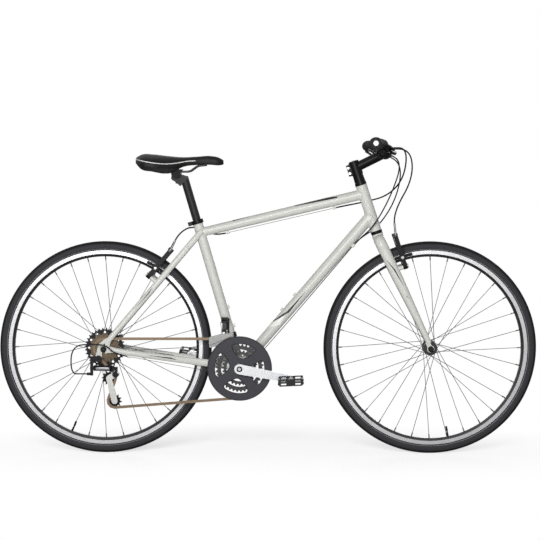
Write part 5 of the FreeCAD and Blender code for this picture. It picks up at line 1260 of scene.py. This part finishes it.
CABLES = (
    Cable("top_wire", Cord.WIRE, ((-0.1292, 0, 0.7262), (0.0435, 0, 0.7662), (0.2162, 0, 0.8062))),
    Cable(
        "rear_brake_cable",
        Cord.BRAKE,
        (
            (-0.1294, 0, 0.7262), (-0.147, 0, 0.722), (-0.1769, 0.0173, 0.7193),
            (-0.2019, 0.0263, 0.7303), (-0.2239, 0.0263, 0.7393), (-0.2459, 0.0183, 0.7433),
            (-0.2659, -0.01, 0.7403), (-0.2892, -0.0609, 0.7206), (-0.2986, -0.06, 0.7032),
        ),
    ),
    Cable(
        "rear_shift_wire",
        Cord.WIRE,
        (
            (0.2792, -0.0149, 0.6821), (-0.08, -0.012, 0.2557),
            (-0.112, -0.014, 0.2557), (-0.4473, -0.0647, 0.3235),
        ),
    ),
    Cable(
        "front_shift_wire",
        Cord.WIRE,
        (
            (0.2792, 0.0149, 0.6821), (-0.08, 0, 0.2557), (-0.113, -0.004, 0.2557),
            (-0.122, -0.006, 0.261), (-0.1535, -0.0395, 0.435),
        ),
    ),
    Cable(
        "rear_shift_loop",
        Cord.SHIFT,
        (
            (-0.4475, -0.0648, 0.3235), (-0.4691, -0.0674, 0.3267), (-0.5025, -0.088, 0.341),
            (-0.5185, -0.093, 0.362), (-0.5625, -0.094, 0.368), (-0.6345, -0.092, 0.362),
            (-0.6385, -0.086, 0.27), (-0.602, -0.08, 0.269), (-0.578, -0.08, 0.269),
        ),
        hold=("frame", "rd_upper_knuckle"),
        bend=((-0.50, -0.08, 0.36), (-0.62, -0.09, 0.30)),
    ),
    Cable(
        "right_shift_cable",
        Cord.SHIFT,
        (
            (0.3785, -0.1146, 0.9861), (0.3846, -0.0811, 0.986), (0.437, -0.062, 0.958),
            (0.404, -0.040, 0.852), (0.348, -0.033, 0.748), (0.2989, -0.0149, 0.7049),
            (0.2793, -0.0149, 0.6822),
        ),
        "bar_cables",
        ("steering", "frame"),
        ((0.42, -0.05, 0.93), (0.30, -0.015, 0.706)),
    ),
    Cable(
        "left_shift_cable",
        Cord.SHIFT,
        (
            (0.3785, 0.1146, 0.9861), (0.3846, 0.0811, 0.986), (0.446, 0.076, 0.950),
            (0.426, 0.058, 0.838), (0.366, 0.036, 0.745), (0.2989, 0.0149, 0.7049),
            (0.2793, 0.0149, 0.6822),
        ),
        "bar_cables",
        ("steering", "frame"),
        ((0.43, 0.06, 0.93), (0.30, 0.015, 0.706)),
    ),
    Cable(
        "right_brake_cable",
        Cord.BRAKE,
        (
            (0.3898, -0.1218, 1.002), (0.3959, -0.0884, 1.0018), (0.452, -0.084, 1.002),
            (0.446, -0.014, 0.905), (0.396, 0.034, 0.846), (0.318, 0.030, 0.826),
            (0.2378, 0, 0.8113), (0.2164, 0, 0.8062),
        ),
        "bar_cables",
        ("steering", "frame"),
        ((0.44, -0.05, 0.96), (0.24, 0.0, 0.812)),
    ),
    Cable(
        "left_brake_cable",
        Cord.BRAKE,
        (
            (0.3898, 0.1218, 1.002), (0.3959, 0.0884, 1.0018), (0.474, 0.092, 1.000),
            (0.478, 0.020, 0.905), (0.4085, -0.0616, 0.793), (0.4122, -0.06, 0.7592),
        ),
        "bar_cables",
        ("steering",),
    ),
)


@dataclass
class Saddle:
    """The padded saddle with its piping, its post and clamp.

    A station is a share of the length, the share of the half width there, and the heights of crown, underside
    and lower edge in millimetres. The seam is the height of the piping by share of the length.
    """

    rear: float = -427.1 * MM
    base: float = 920.4 * MM
    length: float = 281 * MM
    half: float = 83 * MM
    cord: float = 1.6 * MM
    stations: tuple[tuple[float, ...], ...] = (
        (0.0, 0.52, 53, 42, 31),
        (0.05, 0.84, 60.5, 42, 17),
        (0.2, 1.0, 61.5, 45, 6),
        (0.36, 0.80, 56.5, 42, 0),
        (0.54, 0.46, 52.5, 38, 22),
        (0.7, 0.31, 54.5, 34, 27),
        (0.86, 0.27, 56.5, 32, 27.5),
        (0.96, 0.23, 50.5, 30, 26),
        (1.0, 0.14, 44, 34, 28),
    )
    points_round: int = 72
    stretches: tuple[tuple[float, float, int], ...] = ((0.0, 0.12, 14), (0.14, 0.86, 46), (0.88, 1.0, 14))
    rounding: tuple[tuple[float, float], ...] = ((0.93, 1.0), (0.78, 1.9), (0.45, 2.4))
    seam: tuple[tuple[float, float], ...] = (
        (0.0, 45),
        (0.06, 41),
        (0.2, 33.5),
        (0.34, 30),
        (0.46, 32.5),
        (0.60, 39),
        (0.70, 41),
    )
    flank: float = 0.6

    @staticmethod
    def eased(values: np.ndarray, at: np.ndarray, wanted: np.ndarray) -> np.ndarray:
        """Values along a smooth line through given ones.

        Args:
            values: the given values.
            at: where they are.
            wanted: where the line is read.

        Returns:
            The line's values.
        """
        slopes = np.gradient(values, at)
        k = np.clip(np.searchsorted(at, wanted, side="right") - 1, 0, len(at) - 2)
        span = at[k + 1] - at[k]
        u = (wanted - at[k]) / span
        rise = (2 * u**3 - 3 * u**2 + 1) * values[k] + (3 * u**2 - 2 * u**3) * values[k + 1]
        return rise + span * ((u**3 - 2 * u**2 + u) * slopes[k] + (u**3 - u**2) * slopes[k + 1])

    def section(self, share: float, wide: float, top: float, mid: float, low: float) -> list[Vector]:
        """One ring of the saddle, right side first.

        Args:
            share: how far along the saddle.
            wide: share of its full half width.
            top: height of its crown.
            mid: height that its underside keeps under.
            low: height of its lower edge.

        Returns:
            Points round the section.
        """
        half = self.half * wide / MM
        under = max(low + 2, min(mid - 6, 27))
        edge = 0.5 * (top - 0.18 * half + low)
        right = [
            (0, top),
            (0.36, top - 0.02 * half),
            (0.70, top - 0.11 * half),
            (0.93, 0.62 * (top - 0.14 * half) + 0.38 * edge),
            (1.0, edge),
            (0.985, 0.45 * edge + 0.55 * low),
            (0.90, low),
            (0.72, low + 1.0),
            (0.5, under),
        ]
        corners = [(-a * half, z) for a, z in right] + [(a * half, z) for a, z in reversed(right[1:])]
        knots = np.array(corners + corners[:1])
        steps = np.concatenate([[0.0], np.cumsum(np.linalg.norm(np.diff(knots, axis=0), axis=1))])
        wanted = np.linspace(0.0, steps[-1], self.points_round, endpoint=False)
        ys = self.eased(knots[:, 0], steps, wanted)
        zs = self.eased(knots[:, 1], steps, wanted)
        x = self.rear + self.length * share
        return [Vector((x, y * MM, self.base + z * MM)) for y, z in zip(ys, zs)]

    def rings(self) -> list[list[Vector]]:
        """The saddle's rings, rounded off at both ends.

        Returns:
            Rings from rear to nose.
        """
        table = np.array(self.stations)
        shares = np.concatenate([np.linspace(*stretch) for stretch in self.stretches])
        columns = [self.eased(table[:, k], table[:, 0], shares) for k in (1, 2, 3, 4)]
        body = [self.section(*row) for row in zip(shares, *columns)]
        caps = []
        for end, away in ((body[0], -1.0), (body[-1], 1.0)):
            middle = sum(end, Vector()) / len(end)
            caps.append(Form.rounded(end, middle, Vector((away, 0.0, 0.0)), self.rounding))
        return caps[0][::-1] + body + caps[1]

    def piping(self, rings: list[list[Vector]], side: Side) -> bpy.types.Object:
        """The pale cord sewn along one flank.

        Args:
            rings: the saddle's rings.
            side: which flank.

        Returns:
            The piece.
        """
        heights = np.array(self.seam)
        line = []
        caps = len(self.rounding)
        for ring in rings[caps:-caps]:
            share = (ring[0].x - self.rear) / self.length
            if share > heights[-1, 0]:
                break
            z = self.base + self.eased(heights[:, 1], heights[:, 0], np.array([share]))[0] * MM
            flank = [p for p in ring if p.y * side.value > 0]
            widest = max(flank, key=lambda p: abs(p.y))
            near = self.flank * abs(widest.y)
            outer = sorted((p for p in flank if abs(p.y) > near), key=lambda p: p.z)
            y = np.interp(z, [p.z for p in outer], [p.y for p in outer])
            line.append((ring[0].x, float(y), float(z)))
        return Form.hose(side.name.lower() + "_piping", line, self.cord, PIPING)

    def build(self) -> None:
        """Builds the saddle and its piping."""
        rings = self.rings()
        shell = Form.loft("saddle_pad", rings, COVER)
        Form.keep(shell, "saddle", "saddle_cover", "saddle")
        for side in Side:
            Form.keep(self.piping(rings, side), "saddle", "saddle_cover")
        Model.dress("saddle_clamp", BLACK_PLASTIC)
        Model.dress("seatpost", POST_ALLOY)


@dataclass
class Drivetrain:
    """Cranks, rings, guard, cogs and derailleurs.

    A ring is its count of teeth, its y, its inner radius and its inner radius at the arms, in millimetres. A
    corner of a window is its place on the guard and the radius of the arc that leads to it, in millimetres. A
    bolt is both ends' y and its radius, the guard's edge is its radius and half its thickness, and a crank's cap
    is its finish, its radius and its reach. The plate is given by its middle, half sizes and steps outwards.
    """

    bracket: Point = (-0.09, 0.0, 0.285)
    crank_angle: float = -10.8
    rings: tuple[tuple[int, float, float, float], ...] = (
        (48, -55, 82, 70),
        (38, -47.5, 61, 50),
        (28, -40, 44, 34),
    )
    pitch: float = 12.7
    tooth: tuple[float, ...] = (1.0, 1.0, 0.45, 0.0, 0.0, 0.0, 0.45, 1.0)
    tooth_root: float = 3.6
    tooth_height: float = 5.4
    ring_half: float = 1.0
    arm_half: float = 11.0
    bolt_circle: float = 54 * MM
    bolt: tuple[float, float, float] = (-46 * MM, -54.5 * MM, 3.2 * MM)
    window: tuple[Point, ...] = (
        (66, -40, 60),
        (76, -30, 12),
        (76, 30, 82),
        (66, 40, 12),
        (36, 10, 60),
        (36, -10, 16),
    )
    arc_points: int = 10
    face: float = -62 * MM
    lip: float = 1.5 * MM
    guard_edge: tuple[float, float] = (103.6 * MM, 1.8 * MM)
    cap_foot: float = 81 * MM
    caps: tuple[tuple[Finish, float, float], ...] = (
        (BLACK_PLASTIC, 9.6 * MM, 84.5 * MM),
        (BRIGHT_STEEL, 6.2 * MM, 85.2 * MM),
    )
    plate_at: tuple[float, float] = (-533, 288)
    plate_half: tuple[float, float] = (23, 5)
    plate_steps: tuple[tuple[float, float], ...] = ((-99.5, 1.0), (-100.7, 1.0), (-101.0, 0.9))
    cap_size: float = 25 * MM
    largest_cog: float = 110 * MM

    @property
    def centre(self) -> Vector:
        """The middle of the bottom bracket."""
        return Vector(self.bracket)

    @property
    def outside(self) -> Vector:
        """The middle of the guard's outer face."""
        return self.centre + Vector((0.0, self.face, 0.0))

    def window_line(self, number: int) -> list[Vector]:
        """The edge of one window of the guard.

        Args:
            number: which of the four.

        Returns:
            Points round the window, on the guard's outer face.
        """
        turn = math.radians(self.crank_angle + 90 + 90 * number)
        ahead = Vector((math.cos(turn), 0, math.sin(turn)))
        over = Vector((-math.sin(turn), 0, math.cos(turn)))
        line: list[Vector] = []
        for k, (a, b, bend) in enumerate(self.window):
            start = Vector(self.window[k - 1][:2])
            end = Vector((a, b))
            chord = end - start
            left = Vector((-chord.y, chord.x)).normalized()
            middle = (start + end) / 2 + left * math.sqrt(max(bend**2 - (chord.length / 2) ** 2, 0.0))
            first = math.atan2(start.y - middle.y, start.x - middle.x)
            sweep = 2 * math.asin(min(chord.length / 2 / bend, 1.0))
            for j in range(self.arc_points):
                angle = first + sweep * j / self.arc_points
                x, y = middle.x + bend * math.cos(angle), middle.y + bend * math.sin(angle)
                line.append(self.outside + ahead * (x * MM) + over * (y * MM))
        return line

    def ring_line(self, radius: float, count: int = 120) -> list[Vector]:
        """A circle on the guard's outer face."""
        turns = (math.tau * k / count for k in range(count))
        return [self.outside + Vector((math.cos(a), 0, math.sin(a))) * radius for a in turns]

    def phase(self, teeth: int, y: float) -> float:
        """The angle of a tooth of one packed ring.

        Args:
            teeth: how many it has.
            y: where its plate is.

        Returns:
            The angle, in radians.
        """
        mesh = frame["nodes"]["chainrings"].data
        spots = [v.co - self.centre for v in mesh.vertices if abs(v.co.y - y) < 2 * MM]
        far = max(math.hypot(p.x, p.z) for p in spots)
        tips = [math.atan2(p.z, p.x) * teeth for p in spots if math.hypot(p.x, p.z) > far - 0.2 * MM]
        return math.atan2(sum(map(math.sin, tips)), sum(map(math.cos, tips))) / teeth

    def toothed_rings(self) -> bpy.types.Object:
        """The three chainrings, slim between the arms that hold them.

        Returns:
            The piece.
        """
        points: list[Vector] = []
        faces: list[tuple[int, ...]] = []
        steps = len(self.tooth)
        half = self.ring_half
        for teeth, y, inner, foot in self.rings:
            root = self.pitch / 2 / math.sin(math.pi / teeth) - self.tooth_root
            first, base = self.phase(teeth, y * MM), len(points)
            for k in range(teeth * steps):
                turn = first + math.tau * k / (teeth * steps)
                arm = (turn - math.radians(self.crank_angle)) % (math.pi / 2) - math.pi / 4
                near = foot if abs(arm) * inner < self.arm_half else inner
                far = root + self.tooth_height * self.tooth[k % steps]
                out = Vector((math.cos(turn), 0.0, math.sin(turn)))
                for radius, lift in ((far, -half), (far, half), (near, half), (near, -half)):
                    points.append(self.centre + (out * radius + Vector((0.0, y + lift, 0.0))) * MM)
            faces += [tuple(base + j for j in face) for face in Form.grid(teeth * steps, 4, True)]
        return Form.crisp(Form.piece("toothed_rings", points, faces, SLOT_FINISHES["ring_steel"]))

    def ring_bolts(self) -> bpy.types.Object:
        """The bolts that hold the two outer rings to the arms.

        Returns:
            The piece.
        """
        near, far, radius = self.bolt
        bars = []
        for k in range(4):
            turn = math.radians(self.crank_angle + 45 + 90 * k)
            spot = self.centre + Vector((math.cos(turn), 0.0, math.sin(turn))) * self.bolt_circle
            bars.append((spot + Vector((0.0, near, 0.0)), spot + Vector((0.0, far, 0.0)), radius))
        return Form.rods("ring_bolts", bars, BRIGHT_STEEL)

    def cap(self, side: Side, finish: Finish, radius: float, reach: float) -> bpy.types.Object:
        """A disc over the bolt that holds a crank.

        Args:
            side: which crank.
            finish: its surface.
            radius: the disc's radius.
            reach: how far its face is from the middle of the bicycle.

        Returns:
            The piece.
        """
        ends = (self.centre + Vector((0.0, side.value * y, 0.0)) for y in (self.cap_foot, reach))
        return Form.rods(f"{side.name.lower()}_{finish.name}_cap", ((*ends, radius),), finish)

    @staticmethod
    def blunt(wave: float) -> float:
        """A sine or cosine swollen towards 1, which squares off an oval."""
        return math.copysign(abs(wave) ** 0.5, wave)

    def plate(self, count: int = 32) -> bpy.types.Object:
        """The plain metal plate let into the rear derailleur's outer link.

        Args:
            count: points round it.

        Returns:
            The piece.
        """
        rings = []
        for y, shrink in self.plate_steps:
            ring = []
            for k in range(count):
                turn = math.tau * k / count
                x = self.blunt(math.cos(turn)) * self.plate_half[0] * shrink + self.plate_at[0]
                z = self.blunt(math.sin(turn)) * self.plate_half[1] * shrink + self.plate_at[1]
                ring.append(Vector((x, y, z)) * MM)
            rings.append(ring)
        return Form.loft("derailleur_plate", rings, PLATE_STEEL)

    def build(self) -> None:
        """Adds the rings, the guard's raised edges and the caps, and dresses solids of mixed finish."""
        Form.keep(self.plate(), "rd_outer_link", "bright_steel")
        Form.keep(self.toothed_rings(), "crank", "ring_steel", "chainrings")
        Form.keep(self.ring_bolts(), "crank", "bright_steel")
        for side in Side:
            for cap in self.caps:
                Form.keep(self.cap(side, *cap), "crank", cap[0].name)
        Model.dress("fd_cage", Finish("front_cage_steel", tint(126, 126, 126), 0.36, 0.40, grain=900.0))
        guard = SLOT_FINISHES["guard_plastic"]
        for number in range(4):
            lip = Form.hose(f"guard_lip_{number + 1}", self.window_line(number), self.lip, guard, ring=True)
            Form.keep(lip, "crank", "guard_plastic")
        radius, thick = self.guard_edge
        rim = Form.hose("guard_rim", self.ring_line(radius), thick, guard, ring=True)
        Form.keep(rim, "crank", "guard_plastic")
        small = (lambda part: part.size < self.cap_size, BLACK_PLASTIC)
        for side in ("right", "left"):
            Model.dress(side + "_crank", SLOT_FINISHES["crank_alloy"], small)
        Model.dress("freewheel", BROWN_STEEL, (lambda part: part.size > self.largest_cog, DARK_STEEL))


@dataclass
class Brakes:
    """Brake arms with their pads and bright cable guides."""

    guides: tuple[tuple[str, tuple[Point, ...]], ...] = (
        (
            "front_brake_arm_right",
            (
                (0.4168, -0.024, 0.7163), (0.4168, -0.046, 0.7163), (0.4166, -0.058, 0.7168),
                (0.4155, -0.0585, 0.730), (0.4122, -0.060, 0.7590),
            ),
        ),
        (
            "rear_brake_arm_right",
            (
                (-0.319, -0.024, 0.6652), (-0.319, -0.046, 0.6652), (-0.3185, -0.058, 0.6658),
                (-0.311, -0.0585, 0.677), (-0.2988, -0.060, 0.7030),
            ),
        ),
    )
    guide_radius: float = 3.6 * MM
    pad_depth: float = 10 * MM
    bolt_ends: tuple[float, float] = (44 * MM, 58.5 * MM)
    bolt_radius: float = 4.6 * MM
    nut_radius: float = 6.4 * MM
    nut_share: float = 0.12

    def pad_bolt(self, node: str, side: Side) -> bpy.types.Object:
        """The bolt that holds a pad to its arm.

        Args:
            node: the arm with its pad.
            side: which side of the rim it is on.

        Returns:
            The piece.
        """
        pad = min(Model.islands(node), key=lambda part: part.high.y - part.low.y)
        middle = (pad.low + pad.high) / 2
        nut, head = (Vector((middle.x, side.value * y, middle.z)) for y in self.bolt_ends)
        washer = head + (nut - head) * self.nut_share
        bars = ((nut, head, self.bolt_radius), (nut, washer, self.nut_radius))
        return Form.rods(node + "_pad_bolt", bars, BRIGHT_STEEL)

    def build(self) -> None:
        """Dresses the arms and lays the guides over them."""
        pads = (lambda part: part.high.y - part.low.y < self.pad_depth, PAD_RUBBER)
        for end in ("front", "rear"):
            for side in Side:
                node = f"{end}_brake_arm_{side.name.lower()}"
                Model.dress(node, BLACK_ALLOY, pads)
                Form.keep(self.pad_bolt(node, side), node, "bright_steel")
        for body, line in self.guides:
            guide = Form.hose(body.replace("_arm_right", "_guide"), line, self.guide_radius, BRIGHT_STEEL)
            Form.keep(guide, body, "bright_steel")


@dataclass(frozen=True)
class Lamp:
    """A square soft lamp: its place in metres, its side and its power in watts."""

    name: str
    spot: Point
    size: float
    power: float

    def build(self, aim: Point) -> None:
        """Adds the lamp to the studio.

        Args:
            aim: what it faces.
        """
        light = bpy.data.lights.new(self.name, "AREA")
        light.size = self.size
        light.energy = self.power
        made = show(self.name, light)
        made.location = self.spot
        made.rotation_mode = "QUATERNION"
        made.rotation_quaternion = (Vector(aim) - Vector(self.spot)).to_track_quat("-Z", "Y")
        made.visible_camera = False


@dataclass
class Studio:
    """White floor, soft lamps and the camera.

    The floor glows a little for the camera, and from one distance of fade to the other it turns as white as the
    world, over an oval that is longer along the bicycle.
    """

    camera_at: Point = (0.0926, -5.7025, 0.9196)
    yaw: float = -0.014826
    pitch: float = -0.0554
    lens: float = 116.0
    sensor: float = 36.0
    sight: float = 200.0
    white: Colour = (1.0, 1.0, 1.0)
    floor_shades: tuple[Colour, Colour] = ((0.90, 0.90, 0.90), (0.92, 0.92, 0.92))
    ambient: float = 0.06
    glow: float = 0.60
    oval: float = 0.30
    fade: tuple[float, float] = (0.20, 0.75)
    floor_half: float = 40.0
    aim: Point = (0.0, 0.0, 0.55)
    lamps: tuple[Lamp, ...] = (
        Lamp("key", (-0.5, -4.8, 1.7), 2.4, 225.0),
        Lamp("back", (0.5, 4.8, 1.0), 2.4, 60.0),
    )

    def world(self) -> None:
        """White to look at and in reflections, dimmer as light."""
        world = bpy.data.worlds.new("studio")
        bpy.context.scene.world = world
        world.use_nodes = True
        nodes = Nodes(world.node_tree)
        path = nodes.node("ShaderNodeLightPath").outputs
        seen = Sock(nodes, path["Is Camera Ray"])
        for other in ("Is Glossy Ray", "Is Transmission Ray"):
            seen = seen.math("MAXIMUM", seen, Sock(nodes, path[other]))
        level = seen * (1.0 - self.ambient) + self.ambient
        sky = nodes.node("ShaderNodeBackground", {}, {"Color": self.white, "Strength": level})
        nodes.node("ShaderNodeOutputWorld", {}, {0: Sock(nodes, sky.outputs[0])})

    def floor(self) -> None:
        """A wide pale floor that keeps the shadow, and far off is as white as the world."""
        shader = Shader("studio_floor")
        path = shader.node("ShaderNodeLightPath").outputs
        seen = Sock(shader, path["Is Camera Ray"])
        white = shader.mix(shader.noise(3.0), *self.floor_shades)
        shader.fill({"Base Color": white, "Roughness": 0.9, "Specular IOR Level": 0.0})
        lit = Sock(shader, shader.body.outputs[0])
        glow = shader.node("ShaderNodeEmission", {}, {"Color": self.white, "Strength": seen * self.glow})
        near = shader.node("ShaderNodeAddShader", {}, {0: lit, 1: Sock(shader, glow.outputs[0])})
        x, y, _ = shader.place()
        away = (x * x * self.oval + y * y).root().rise(*self.fade) * seen
        bright = shader.node("ShaderNodeEmission", {}, {"Color": self.white, "Strength": 1.0})
        ends = {0: away, 1: Sock(shader, near.outputs[0]), 2: Sock(shader, bright.outputs[0])}
        blend = shader.node("ShaderNodeMixShader", {}, ends)
        shader.feed(shader.out.inputs[0], Sock(shader, blend.outputs[0]))
        mesh = bpy.data.meshes.new("floor")
        far = self.floor_half
        mesh.from_pydata([(-far, -far, 0), (far, -far, 0), (far, far, 0), (-far, far, 0)], [], [(0, 1, 2, 3)])
        mesh.materials.append(shader.material)
        show("floor", mesh)

    def camera(self) -> None:
        """The camera that took the picture."""
        data = bpy.data.cameras.new("camera")
        data.sensor_width = self.sensor
        data.lens = self.lens
        data.dof.use_dof = False
        data.clip_end = self.sight
        made = show("camera", data)
        made.location = self.camera_at
        level = math.cos(self.pitch)
        look = Vector((math.sin(self.yaw) * level, math.cos(self.yaw) * level, math.sin(self.pitch)))
        made.rotation_mode = "QUATERNION"
        made.rotation_quaternion = look.to_track_quat("-Z", "Y")
        bpy.context.scene.camera = made

    def build(self) -> None:
        """Sets up the whole studio."""
        self.world()
        self.floor()
        for lamp in self.lamps:
            lamp.build(self.aim)
        self.camera()
        bpy.context.scene.view_settings.view_transform = "Standard"


def main() -> None:
    """Builds the bicycle's pieces in order, and the studio round them."""
    logging.basicConfig(level=logging.INFO, format="%(name)s: %(message)s")
    Model.dress_all()
    FrameSet().build()
    Wheel("front", Vector((0.5325, 0.0, 0.349)), -78).build()
    Wheel("rear", Vector((-0.5325, 0.0, 0.349)), -112).build()
    Cockpit().build()
    for cable in CABLES:
        cable.build()
    Saddle().build()
    Drivetrain().build()
    Brakes().build()
    Studio().build()


if __name__ == "__main__":
    main()
